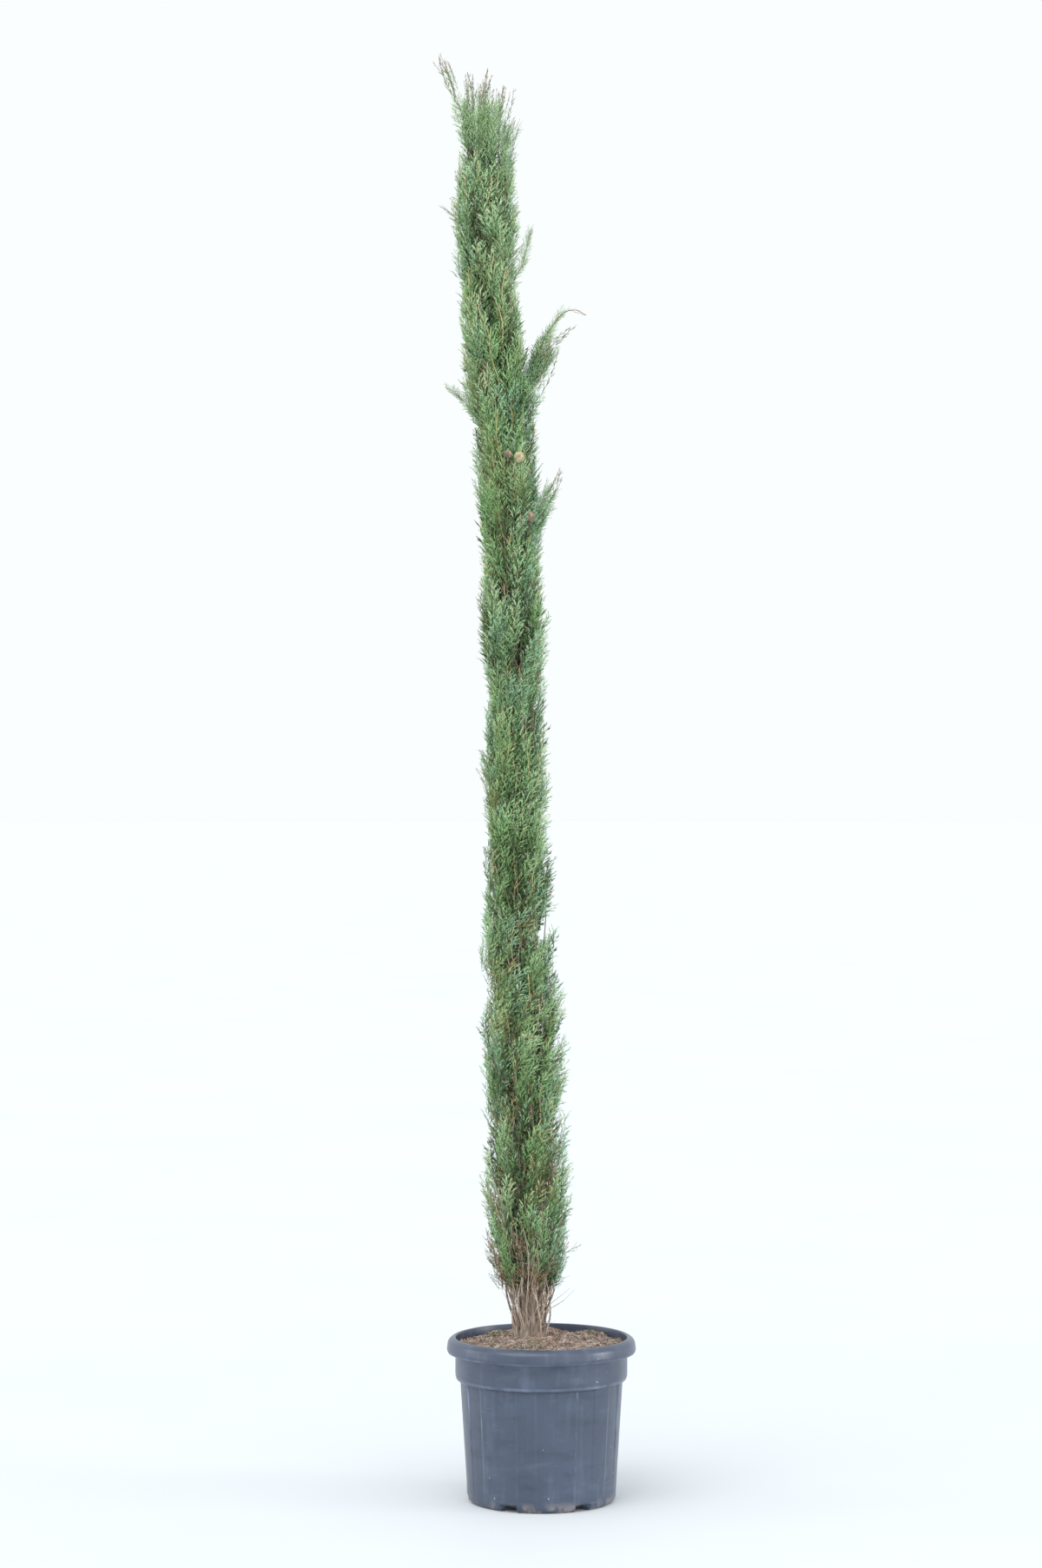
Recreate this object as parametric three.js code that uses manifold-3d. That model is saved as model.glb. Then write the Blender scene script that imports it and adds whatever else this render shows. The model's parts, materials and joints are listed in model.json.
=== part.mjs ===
// An italian cypress in a round nursery pot: a slim column of ascending foliage on one
// leaning trunk, with a fan of slender side stems at its foot and a mound of bark compost.
//
// Millimetres, +Z up. The origin is the centre of the pot's flat underside, +X points to the
// tree's right and -Y is its front.
//
// The crown is built in round coordinates about the trunk: an angle, a radius from the trunk's
// axis and a height. Every foliage mass is one block of that space, so blocks never meet. The
// floor of a tier is a cone that rises outwards, which makes each mass overlap the one above it
// on the outside, as ascending branches do.

import * as THREE from "three";
import { mergeVertices } from "three/addons/utils/BufferGeometryUtils.js";
import Module from "manifold-3d";

const wasm = await Module();
wasm.setup();

// ---------------------------------------------------------------- driving dimensions

const POT = {
  height: 417,
  rimRadius: 242, // outside of the rolled lip
  mouthRadius: 223, // ridge of the lip
  lipDrop: 39, // how far the lip's skirt hangs below the ridge
  collarRadius: 220,
  collarDrop: 107, // from the ridge to the step under the collar
  bodyTopRadius: 208,
  baseRadius: 189,
  chamfer: 9,
  wall: 3,
  floor: 4,
  segments: 48,
};
const FLUTES = { count: 12, depth: 3, low: 24, phase: THREE.MathUtils.degToRad(-56.5) };
const NOTCH = { count: 6, width: 42, height: 17, reach: 34 };
const SOIL = { edge: 399, middle: 419, level: 72, gap: 0.6 };

// The trunk's axis: [height, x, y]. The tree leans to its left and its tip comes forward a little.
const AXIS = [
  [420, -29, 0],
  [800, -36, 3],
  [1300, -44, 6],
  [1800, -60, 4],
  [2300, -74, -2],
  [2750, -94, -6],
  [3100, -135, -4],
  [3350, -144, 0],
  [3560, -147, 3],
];
// The crown's outline: [height, mean radius].
const OUTLINE = [
  [500, 70],
  [600, 93],
  [820, 110],
  [1060, 107],
  [1300, 97],
  [1560, 84],
  [1850, 77],
  [2050, 72],
  [2300, 81],
  [2460, 74],
  [2680, 80],
  [2900, 80],
  [3150, 70],
  [3320, 76],
  [3480, 62],
  [3600, 40],
];
const TRUNK = { foot: 21, flare: 9, flareHeight: 46, tip: 2.2, top: 3490, sides: 10, rings: 26 };
const CROWN = {
  foot: 548, // underside of the lowest masses
  top: 3425,
  tiers: 8,
  sectors: 3,
  rise: 1.5, // slope of the cone between two tiers
  gap: 3, // from a mass to the surface it shares with its neighbour
  bark: 4, // clearance round the trunk
  columns: 5,
  rows: 6,
};
const STEMS = { count: 12, foot: 6.2, head: 4.2, sides: 7, rings: 6, clear: 1.2 };

// Foliage that stands clear of the column: [name, radius, points along its middle].
const PLUMES = [
  ["tip_leader", 18, [[-148, 2, 3496], [-143, 4, 3580], [-137, 6, 3660]]],
  ["tip_left_outer", 21, [[-190, -8, 3478], [-214, -12, 3580], [-262, -18, 3686]]],
  ["tip_left_inner", 15, [[-176, 20, 3500], [-184, 24, 3580], [-190, 26, 3655]]],
  ["tip_right", 17, [[-110, -12, 3490], [-104, -16, 3550], [-98, -18, 3613]]],
  ["tip_right_low", 9, [[-82, 12, 3478], [-74, 14, 3502], [-66, 16, 3530]]],
  ["tip_front", 17, [[-150, -44, 3492], [-152, -50, 3550], [-156, -58, 3608]]],
  ["tip_back", 17, [[-136, 46, 3492], [-128, 52, 3546], [-122, 60, 3596]]],
  ["plume_right_upper", 27, [[-22, -20, 2790], [4, -24, 2880], [24, -26, 2978]]],
  ["plume_right_lower", 17, [[2, -14, 2512], [20, -20, 2572], [47, -24, 2636]]],
  ["sprig_left", 9, [[-190, -6, 2800], [-216, -10, 2822], [-246, -12, 2844]]],
  ["sprig_right", 8, [[-48, -16, 3150], [-38, -20, 3200], [-24, -22, 3249]]],
];
// The one long limb that arches out of the column on the right.
const ARCHING_LIMB = {
  foot: 4.2,
  tip: 1.2,
  sides: 6,
  points: [[-34, 10, 2862], [-8, 14, 2936], [30, 14, 3004], [60, 12, 3038], [92, 10, 3042], [123, 8, 3023]],
};

const COLOURS = {
  pot: ["#3d434e", 0.5],
  soil: ["#5f4a3b", 0.95],
  bark: ["#7c6c5d", 0.9],
  foliage: ["#5b8457", 0.8],
};

// ---------------------------------------------------------------- small helpers

/** A smooth curve through rows of [key, value...], read at any key. */
function stations(rows) {
  const last = rows.length - 1;
  return (key) => {
    if (key <= rows[0][0]) return rows[0].slice(1);
    if (key >= rows[last][0]) return rows[last].slice(1);
    const i = rows.findIndex((row) => row[0] > key) - 1;
    const t = (key - rows[i][0]) / (rows[i + 1][0] - rows[i][0]);
    const before = rows[Math.max(i - 1, 0)];
    const after = rows[Math.min(i + 2, last)];
    return rows[i].slice(1).map((value, column) => {
      const [a, b, c, d] = [before, rows[i], rows[i + 1], after].map((row) => row[column + 1]);
      const bend = 3 * (b - c) + d - a;
      return 0.5 * (2 * b + t * (c - a + t * (2 * a - 5 * b + 4 * c - d + t * bend)));
    });
  };
}

/** A repeatable number from 0 to 1 for a piece's number and a trait. */
function chance(piece, trait) {
  const x = Math.sin(piece * 12.9898 + trait * 78.233) * 43758.5453;
  return x - Math.floor(x);
}

/** Joins rings of equal length into one closed surface, with a fan over each end. */
function loft(rings) {
  const sides = rings[0].length;
  const points = rings.flat();
  const index = [];
  for (let k = 0; k < rings.length - 1; k++) {
    for (let i = 0; i < sides; i++) {
      const [a, b] = [k * sides + i, k * sides + ((i + 1) % sides)];
      index.push(a, b, b + sides, a, b + sides, a + sides);
    }
  }
  const ends = [rings[0], rings[rings.length - 1]];
  ends.forEach((ring, end) => {
    const middle = ring.reduce((sum, p) => sum.add(p), new THREE.Vector3()).divideScalar(sides);
    const first = end * (rings.length - 1) * sides;
    const centre = points.push(middle) - 1;
    for (let i = 0; i < sides; i++) {
      const [a, b] = [first + i, first + ((i + 1) % sides)];
      index.push(centre, ...(end ? [a, b] : [b, a]));
    }
  });
  return new THREE.BufferGeometry().setFromPoints(points).setIndex(index);
}

/** A round limb along a curve. radiusAt(t, angle) gives its radius from end to end. */
function limb(points, radiusAt, sides, rings, flatFoot = false) {
  const curve = new THREE.CatmullRomCurve3(points.map((p) => new THREE.Vector3(...p)));
  const loops = [];
  for (let k = 0; k <= rings; k++) {
    const t = k / rings;
    const middle = curve.getPoint(t);
    const along = k === 0 && flatFoot ? new THREE.Vector3(0, 0, 1) : curve.getTangent(t);
    const out = new THREE.Vector3(1, 0, 0).projectOnPlane(along).normalize();
    const across = new THREE.Vector3().crossVectors(along, out);
    const ring = [];
    for (let i = 0; i < sides; i++) {
      const angle = (i / sides) * 2 * Math.PI;
      const radius = radiusAt(t, angle);
      ring.push(
        middle.clone()
          .addScaledVector(out, radius * Math.cos(angle))
          .addScaledVector(across, radius * Math.sin(angle)),
      );
    }
    loops.push(ring);
  }
  return loft(loops);
}

/** 1 on a recessed panel of the pot's wall and 0 on a raised one. */
function fluteShare(angle) {
  const turn = ((angle - FLUTES.phase) / (2 * Math.PI)) * FLUTES.count;
  return Math.abs(turn - Math.round(turn)) < 0.25 ? 1 : 0;
}

/** Turns a half outline of [radius, height, flute depth] about Z; both ends are closed flat. */
function turned(outline, segments) {
  const rings = outline.map(([radius, height, depth = 0]) => {
    const ring = [];
    for (let i = 0; i < segments; i++) {
      const angle = FLUTES.phase + ((i + 0.5) / segments) * 2 * Math.PI;
      const reach = radius - depth * fluteShare(angle);
      ring.push(new THREE.Vector3(reach * Math.cos(angle), reach * Math.sin(angle), height));
    }
    return ring;
  });
  return loft(rings);
}

/** The geometry as a manifold solid, and back. */
function solid(geometry) {
  const bare = new THREE.BufferGeometry().setAttribute("position", geometry.getAttribute("position"));
  bare.setIndex(geometry.index);
  const merged = mergeVertices(bare, 1e-3);
  return new wasm.Manifold(
    new wasm.Mesh({
      numProp: 3,
      vertProperties: merged.attributes.position.array,
      triVerts: new Uint32Array(merged.index.array),
    }),
  );
}

function meshed(manifold) {
  const found = manifold.getMesh();
  return new THREE.BufferGeometry()
    .setAttribute("position", new THREE.BufferAttribute(new Float32Array(found.vertProperties), 3))
    .setIndex(new THREE.BufferAttribute(new Uint32Array(found.triVerts), 1));
}

const axisAt = stations(AXIS);
const outlineAt = stations(OUTLINE);

const model = new THREE.Group();

function add(name, geometry, finish) {
  const [color, roughness] = COLOURS[finish];
  const mesh = new THREE.Mesh(geometry, new THREE.MeshStandardMaterial({ color, roughness, metalness: 0 }));
  mesh.name = name;
  model.add(mesh);
}

// ---------------------------------------------------------------- the pot

function pot() {
  const { height, wall, floor } = POT;
  const { depth, low } = FLUTES;
  const step = height - POT.collarDrop;
  const skirt = height - POT.lipDrop;
  const inside = (radius) => radius - depth - wall;
  const outline = [
    [POT.baseRadius - POT.chamfer * 0.5, 0],
    [POT.baseRadius, POT.chamfer],
    [POT.baseRadius + 1, low, depth * 0.4],
    [POT.bodyTopRadius, step - 4, depth],
    [POT.collarRadius - 4, step],
    [POT.collarRadius, step + 8],
    [POT.collarRadius, skirt - 4],
    [POT.rimRadius - 3, skirt],
    [POT.rimRadius, skirt + 8],
    [POT.rimRadius - 4, height - 12],
    [POT.mouthRadius + 6, height - 1.5],
    [POT.mouthRadius, height],
    [POT.mouthRadius - 4, height - 3],
    [POT.collarRadius - wall - 1, skirt],
    [POT.collarRadius - wall - 1, step + 10],
    [inside(POT.bodyTopRadius), step - 2],
    [inside(POT.baseRadius), low],
    [inside(POT.baseRadius) - 6, floor],
  ];
  let shell = solid(turned(outline, POT.segments));
  for (let i = 0; i < NOTCH.count; i++) {
    const angle = FLUTES.phase + (i / NOTCH.count) * 2 * Math.PI;
    const cutter = new THREE.BoxGeometry(NOTCH.reach, NOTCH.width, NOTCH.height + 2)
      .translate(POT.baseRadius + 4 - NOTCH.reach / 2, 0, NOTCH.height / 2 - 1)
      .rotateZ(angle);
    shell = shell.subtract(solid(cutter));
  }
  return meshed(shell);
}

function soil() {
  const inset = FLUTES.depth + POT.wall + SOIL.gap;
  const step = POT.height - POT.collarDrop;
  const slope = (POT.bodyTopRadius - POT.baseRadius) / (step - FLUTES.low);
  const outline = [
    [POT.baseRadius - inset - 7, POT.floor + SOIL.gap],
    [POT.baseRadius - inset - 0.6, FLUTES.low],
    [POT.baseRadius - inset - 0.6 + slope * (step - FLUTES.low), step - 2],
    [POT.collarRadius - POT.wall - 2, step + 13],
    [POT.collarRadius - POT.wall - 2, SOIL.edge],
    [150, (SOIL.edge + SOIL.middle) / 2 + 2],
    [SOIL.level, SOIL.middle],
  ];
  return turned(outline, POT.segments);
}

// ---------------------------------------------------------------- trunk and stems

function trunkRadius(height) {
  const t = (height - SOIL.middle) / (TRUNK.top - SOIL.middle);
  const taper = TRUNK.foot + (TRUNK.tip - TRUNK.foot) * Math.pow(Math.max(t, 0), 0.8);
  return taper + TRUNK.flare * Math.exp(-(height - SOIL.middle) / TRUNK.flareHeight);
}

function trunk() {
  const low = SOIL.middle + 0.3;
  const points = [];
  for (let k = 0; k <= 12; k++) {
    const height = low + (TRUNK.top - low) * (k / 12);
    points.push([...axisAt(height), height]);
  }
  // The curve's own parameter runs evenly through the points, so t is also a share of the height.
  const radiusAt = (t, angle) => {
    const height = low + (TRUNK.top - low) * t;
    const flare = Math.exp(-(height - low) / TRUNK.flareHeight);
    return trunkRadius(height) * (1 + 0.12 * flare * Math.cos(4 * angle));
  };
  return limb(points, radiusAt, TRUNK.sides, TRUNK.rings, true);
}

/** Side stem number i: it leaves the foot of the trunk and leans out into the lowest masses. */
function stem(i) {
  const angle = ((i + 0.3 * (chance(i, 1) - 0.5)) / STEMS.count) * 2 * Math.PI + 0.2;
  const outer = i % 2;
  const foot = SOIL.middle + 6 + 20 * chance(i, 2) + (outer ? 0 : 26);
  const head = CROWN.foot - CROWN.gap - 3;
  const reach = (outer ? 60 : 46) + 6 * chance(i, 3);
  const points = [];
  for (let k = 0; k <= 3; k++) {
    const t = k / 3;
    const height = foot + (head - foot) * t;
    const [x, y] = axisAt(height);
    const start = trunkRadius(foot) * 1.12 + STEMS.foot + STEMS.clear + (outer ? 2.5 : 0);
    const radius = start + (reach - start) * Math.pow(t, 1.3);
    points.push([x + radius * Math.cos(angle), y + radius * Math.sin(angle), height]);
  }
  const radiusAt = (t) => STEMS.foot + (STEMS.head - STEMS.foot) * t;
  return limb(points, radiusAt, STEMS.sides, STEMS.rings);
}

// ---------------------------------------------------------------- foliage

/** Height at which a tier begins, on the trunk. */
const tierFloor = (tier) => CROWN.foot + ((CROWN.top - CROWN.foot) * tier) / CROWN.tiers;

/**
 * One foliage mass: a block of the crown between two tier cones and two upright planes.
 * grown makes it that many millimetres larger all round, for cutting its neighbours.
 */
function mass(tier, sector, grown = 0) {
  const piece = tier * CROWN.sectors + sector;
  const turn = (2 * Math.PI) / CROWN.sectors;
  const from = (sector + 0.5 * (tier % 2) + 0.12 * (chance(tier, 4) - 0.5)) * turn - Math.PI / 2;
  const swell = 1 + 0.1 * (chance(piece, 5) - 0.5);
  const { columns, rows } = CROWN;
  const gap = CROWN.gap - grown;

  // u runs round the mass, v up it, and w from the trunk to the outside.
  const at = (u, v, w) => {
    const guess = tierFloor(tier) + (tierFloor(tier + 1) - tierFloor(tier)) * v + 100 * w;
    const inner = trunkRadius(guess) + CROWN.bark;
    const side = Math.pow(Math.abs(2 * u - 1), 2.4);
    const shoulder = 0.2 * side * (0.35 + 0.65 * v);
    const tuck = 0.16 * Math.pow(1 - v, 3) + 0.1 * Math.pow(v, 4);
    const lumps = 0.05 * Math.sin(5.2 * u + 9 * v + 6.3 * chance(piece, 6));
    const tufts = 0.03 * Math.sin(11 * u - 15 * v + 6.3 * chance(piece, 7));
    const outer = outlineAt(guess)[0] * swell * (1.09 - shoulder - tuck + lumps + tufts) + grown;
    const radius = inner + (outer - inner) * w;
    const cone = CROWN.rise * (radius - TRUNK.foot) * (tier === 0 ? v : 1);
    const low = tierFloor(tier) + gap;
    const high = tierFloor(tier + 1) - gap;
    const height = low + (high - low) * v + cone;
    const narrow = 0.3 * w * Math.pow(Math.max(v - 0.45, 0) / 0.55, 2);
    const spread = (u - 0.5) * (1 - narrow) + 0.5;
    const spare = (2 * gap) / radius;
    const angle = from + spare / 2 + (turn - spare) * spread;
    const [x, y] = axisAt(height);
    return new THREE.Vector3(x + radius * Math.cos(angle), y + radius * Math.sin(angle), height);
  };

  // The four edges of the outer face, walked once round, join it to the inner face.
  const points = [];
  const number = (i, j, k) => k * (columns + 1) * (rows + 1) + j * (columns + 1) + i;
  for (let k = 0; k <= 1; k++) {
    for (let j = 0; j <= rows; j++) {
      for (let i = 0; i <= columns; i++) points.push(at(i / columns, j / rows, k));
    }
  }
  const index = [];
  const quad = (a, b, c, d) => index.push(a, b, c, a, c, d);
  for (let j = 0; j < rows; j++) {
    for (let i = 0; i < columns; i++) {
      quad(number(i, j, 1), number(i + 1, j, 1), number(i + 1, j + 1, 1), number(i, j + 1, 1));
      quad(number(i, j, 0), number(i, j + 1, 0), number(i + 1, j + 1, 0), number(i + 1, j, 0));
    }
  }
  for (let i = 0; i < columns; i++) {
    quad(number(i, 0, 0), number(i + 1, 0, 0), number(i + 1, 0, 1), number(i, 0, 1));
    quad(number(i, rows, 1), number(i + 1, rows, 1), number(i + 1, rows, 0), number(i, rows, 0));
  }
  for (let j = 0; j < rows; j++) {
    quad(number(0, j, 0), number(0, j, 1), number(0, j + 1, 1), number(0, j + 1, 0));
    quad(number(columns, j, 1), number(columns, j, 0), number(columns, j + 1, 0), number(columns, j + 1, 1));
  }
  return new THREE.BufferGeometry().setFromPoints(points).setIndex(index);
}

/** A loose plume: a spindle with its belly low down and uneven flanks. */
function plume(number, radius, points) {
  const belly = (t) => Math.pow(Math.sin(Math.PI * Math.pow(0.06 + 0.92 * t, 0.75)), 0.8);
  const radiusAt = (t, angle) => radius * belly(t) * (1 + 0.14 * Math.sin(3 * angle + 7 * t + number));
  return limb(points, radiusAt, 8, 6);
}

function archingLimb(grown = 0) {
  const { foot, tip, sides, points } = ARCHING_LIMB;
  return limb(points, (t) => foot + (tip - foot) * t + grown, sides, 10);
}

/** The largest body left of a piece once the cutters are taken out of it. */
function clearOf(geometry, cutters) {
  const left = cutters.reduce((piece, cutter) => piece.subtract(cutter), solid(geometry));
  const bodies = left.decompose().sort((a, b) => b.volume() - a.volume());
  return meshed(bodies[0]);
}

// ---------------------------------------------------------------- the whole tree

add("pot", pot(), "pot");
add("soil", soil(), "soil");
add("trunk", trunk(), "bark");
for (let i = 0; i < STEMS.count; i++) add(`stem_${i + 1}`, stem(i), "bark");
const column = [];
for (let tier = 0; tier < CROWN.tiers; tier++) {
  for (let sector = 0; sector < CROWN.sectors; sector++) {
    add(`foliage_${tier + 1}${"abc"[sector]}`, mass(tier, sector), "foliage");
    column.push(solid(mass(tier, sector, 1)));
  }
}
add("arching_limb", clearOf(archingLimb(), column), "bark");
const clearance = [...column, solid(archingLimb(0.8))];
PLUMES.forEach(([name, radius, points], number) => {
  add(name, clearOf(plume(number, radius, points), clearance), "foliage");
});

export default model;
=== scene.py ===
"""Looks of an italian cypress in a nursery pot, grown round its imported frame.

The frame gives the trunk, the side stems, the outline of the crown and the loose plumes. Boughs
leave the trunk and the stems and climb inside that outline, twigs leave the boughs, and every
twig ends in a spray of scale-leaved branchlets. All sizes are metres.
"""

import json
import logging
import math
from dataclasses import dataclass, field, replace
from enum import Enum

import bpy
import numpy as np
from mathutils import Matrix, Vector
from mathutils.bvhtree import BVHTree

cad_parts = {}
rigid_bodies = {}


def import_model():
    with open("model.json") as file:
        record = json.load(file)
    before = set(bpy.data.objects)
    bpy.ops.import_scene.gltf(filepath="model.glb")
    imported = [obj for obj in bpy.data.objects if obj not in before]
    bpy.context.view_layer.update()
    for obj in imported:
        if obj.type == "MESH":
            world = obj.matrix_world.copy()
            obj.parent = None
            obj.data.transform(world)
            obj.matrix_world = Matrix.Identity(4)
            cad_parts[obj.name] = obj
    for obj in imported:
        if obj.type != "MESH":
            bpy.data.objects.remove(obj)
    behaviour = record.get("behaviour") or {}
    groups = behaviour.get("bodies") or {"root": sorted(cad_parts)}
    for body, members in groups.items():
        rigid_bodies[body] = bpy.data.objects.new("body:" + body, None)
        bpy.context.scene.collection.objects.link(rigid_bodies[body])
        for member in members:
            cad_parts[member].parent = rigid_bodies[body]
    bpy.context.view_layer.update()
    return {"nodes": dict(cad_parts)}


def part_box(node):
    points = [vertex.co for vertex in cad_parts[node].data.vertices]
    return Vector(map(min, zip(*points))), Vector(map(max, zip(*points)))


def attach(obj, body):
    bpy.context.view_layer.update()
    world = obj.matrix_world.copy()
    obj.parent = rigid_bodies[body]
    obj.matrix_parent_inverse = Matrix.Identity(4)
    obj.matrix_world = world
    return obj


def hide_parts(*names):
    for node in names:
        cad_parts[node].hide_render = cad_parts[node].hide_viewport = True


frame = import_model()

BODY = "root"
GOLDEN_ANGLE = math.pi * (3 - math.sqrt(5))
TURN = 2 * math.pi
log = logging.getLogger("cypress")

Array = np.ndarray
Triple = tuple[float, float, float]
Piece = bpy.types.Object
Shelf = bpy.types.Collection
Material = bpy.types.Material
NodeTree = bpy.types.GeometryNodeTree
Socket = bpy.types.NodeSocket


# ---- arrays and meshes


def paint(code: str) -> tuple[float, float, float, float]:
    """Turns a display colour into the linear values that a shader takes.

    Args:
        code: six hexadecimal digits, red first.

    Returns:
        Linear red, green, blue and a full alpha.
    """
    shown = [int(code[i : i + 2], 16) / 255 for i in (0, 2, 4)]
    linear = [c / 12.92 if c <= 0.04045 else ((c + 0.055) / 1.055) ** 2.4 for c in shown]
    return (*linear, 1.0)


def unit(vectors: Array) -> Array:
    """Scales vectors to length one along the last axis."""
    return vectors / np.maximum(np.linalg.norm(vectors, axis=-1, keepdims=True), 1e-12)


def blend(low: Array | float, high: Array | float, share: Array | float) -> Array:
    """Goes from low to high as share goes from 0 to 1."""
    return low + (high - low) * share


def bearings(count: int) -> Array:
    """Lists evenly spaced bearings all the way round."""
    return np.arange(count) / count * TURN


def wrapped(angle: Array) -> Array:
    """Brings angles to the half turns either side of zero."""
    return (angle + math.pi) % TURN - math.pi


def flat_way(bearing: Array) -> Array:
    """Turns bearings into level directions of length one."""
    return np.stack([np.cos(bearing), np.sin(bearing), np.zeros_like(bearing)], -1)


def leaning(lean: Array, bearing: Array) -> Array:
    """Turns leans from upright and bearings into directions of length one."""
    return flat_way(bearing) * np.sin(lean)[..., None] + np.cos(lean)[..., None] * [0, 0, 1]


def path_length(points: Array) -> float:
    """Measures a line of points."""
    return np.linalg.norm(np.diff(points, axis=0), axis=1).sum()


def ring_faces(rows: int, wide: int) -> tuple[Array, Array]:
    """Lists the faces of a closed skin: rows of points, then one point at each end.

    Args:
        rows: how many rows of points.
        wide: points of a row.

    Returns:
        The triangles of the ends, and the quads between the rows.
    """
    i, j = np.meshgrid(np.arange(rows - 1), np.arange(wide), indexing="ij")
    k = (j + 1) % wide
    quads = np.stack([i * wide + j, i * wide + k, (i + 1) * wide + k, (i + 1) * wide + j], -1)
    one, two = np.arange(wide), (np.arange(wide) + 1) % wide
    last = (rows - 1) * wide
    ends = ((rows * wide, two, one), (rows * wide + 1, last + one, last + two))
    caps = [np.stack([np.full(wide, end), left, right], -1) for end, left, right in ends]
    return np.concatenate(caps), quads.reshape(-1, 4)


@dataclass
class Mould:
    """Collects the points and faces of many small shapes, to be cast as one mesh."""

    points: list[Array] = field(default_factory=list)
    triangles: list[Array] = field(default_factory=list)
    quads: list[Array] = field(default_factory=list)
    size: int = 0

    def add(self, points: Array, triangles: Array, quads: Array | None = None) -> None:
        """Adds one batch of shapes.

        Args:
            points: rows of x, y, z.
            triangles: rows of three of this batch's point numbers.
            quads: rows of four of them.
        """
        self.points.append(points.reshape(-1, 3))
        self.triangles.append(triangles.reshape(-1, 3) + self.size)
        if quads is not None:
            self.quads.append(quads.reshape(-1, 4) + self.size)
        self.size += len(self.points[-1])

    def cast(self, name: str, shelf: Shelf | None = None) -> Piece:
        """Makes the collected shapes one smooth mesh object at the origin.

        Args:
            name: the piece's name.
            shelf: where it is put, if not in the scene itself.

        Returns:
            The new object.
        """
        triangles = np.concatenate(self.triangles)
        quads = np.concatenate(self.quads or [np.zeros((0, 4), int)])
        corners = np.concatenate([triangles.ravel(), quads.ravel()]).astype(np.int32)
        sizes = np.concatenate([np.full(len(triangles), 3), np.full(len(quads), 4)])
        starts = np.concatenate([[0], np.cumsum(sizes)[:-1]]).astype(np.int32)
        mesh = bpy.data.meshes.new(name)
        mesh.vertices.add(self.size)
        mesh.vertices.foreach_set("co", np.concatenate(self.points).astype(np.float32).ravel())
        mesh.loops.add(len(corners))
        mesh.loops.foreach_set("vertex_index", corners)
        mesh.polygons.add(len(sizes))
        mesh.polygons.foreach_set("loop_start", starts)
        mesh.update(calc_edges=True)
        mesh.shade_smooth()
        return put_out(name, mesh, shelf)


def put_out(name: str, data: bpy.types.ID, shelf: Shelf | None = None) -> Piece:
    """Makes an object of a mesh, a light or a camera, and puts it in the scene or on a shelf."""
    made = bpy.data.objects.new(name, data)
    (bpy.context.scene.collection if shelf is None else shelf).objects.link(made)
    return made


def keep_values(mesh: bpy.types.Mesh, name: str, values: Array) -> None:
    """Keeps a number or a vector for each point of a mesh, as a named attribute.

    Args:
        mesh: the mesh.
        name: the attribute.
        values: numbers or rows of x, y, z, one for each point.
    """
    whole, vector = values.dtype.kind == "i", values.ndim == 2
    kind = "INT" if whole else "FLOAT_VECTOR" if vector else "FLOAT"
    made = mesh.attributes.new(name, kind, "POINT")
    flat = values.astype(np.int32 if whole else np.float32).ravel()
    made.data.foreach_set("vector" if vector else "value", flat)


def add_tubes(mould: Mould, paths: Array, radii: Array, sides: int) -> None:
    """Adds closed round limbs, which are all made of the same number of rings.

    Args:
        mould: where the limbs go.
        paths: limbs by rings by x, y, z.
        radii: limbs by rings, and by sides where the surface has relief.
        sides: corners of a ring.
    """
    limbs, rings = paths.shape[:2]
    if radii.ndim == 2:
        radii = np.repeat(radii[:, :, None], sides, axis=2)
    along = unit(np.gradient(paths, axis=1))
    chord = unit(paths[:, -1] - paths[:, 0])
    hint = np.where(np.abs(chord[:, 2:3]) > 0.5, [[1.0, 0.0, 0.0]], [[0.0, 0.0, 1.0]])
    out = unit(hint[:, None] - along * np.sum(hint[:, None] * along, axis=-1, keepdims=True))
    across = np.cross(along, out)
    turn = bearings(sides)
    spoke = out[:, :, None] * np.cos(turn)[:, None] + across[:, :, None] * np.sin(turn)[:, None]
    skin = paths[:, :, None] + spoke * radii[..., None]
    ends = np.stack([paths[:, 0], paths[:, -1] + along[:, -1] * radii[:, -1, :1]], axis=1)
    points = np.concatenate([skin.reshape(limbs, -1, 3), ends], axis=1)
    caps, quads = ring_faces(rings, sides)
    shift = np.arange(limbs)[:, None, None] * (rings * sides + 2)
    mould.add(points, caps[None] + shift, quads[None] + shift)


def add_blades(mould: Mould, feet: Array, tips: Array, radii: Array, fronts: Array) -> None:
    """Adds closed slim blades of four faces, the shape of a short shoot wrapped in scale leaves.

    Args:
        mould: where the blades go.
        feet: rows of x, y, z.
        tips: rows of x, y, z.
        radii: half the width of each.
        fronts: rows of the directions that their broad sides face.
    """
    along = unit(tips - feet)
    across = unit(np.cross(fronts, along))
    front = np.cross(along, across)
    belly = blend(feet, tips, 0.6) + front * radii[:, None] * 0.8
    edge = across * radii[:, None]
    points = np.stack([feet, belly + edge, belly - edge, tips], axis=1)
    faces = np.array([[0, 2, 1], [3, 1, 2], [0, 1, 3], [0, 3, 2]])
    mould.add(points, faces[None] + np.arange(len(feet))[:, None, None] * 4)


def add_turned(mould: Mould, points: Array, ends: Array | None = None) -> None:
    """Adds a closed skin.

    Args:
        mould: where it goes.
        points: rows by columns by x, y, z.
        ends: the point that closes each end, if not the middle of its row.
    """
    if ends is None:
        ends = np.stack([points[0].mean(axis=0), points[-1].mean(axis=0)])
    mould.add(np.concatenate([points.reshape(-1, 3), ends]), *ring_faces(*points.shape[:2]))


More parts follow.
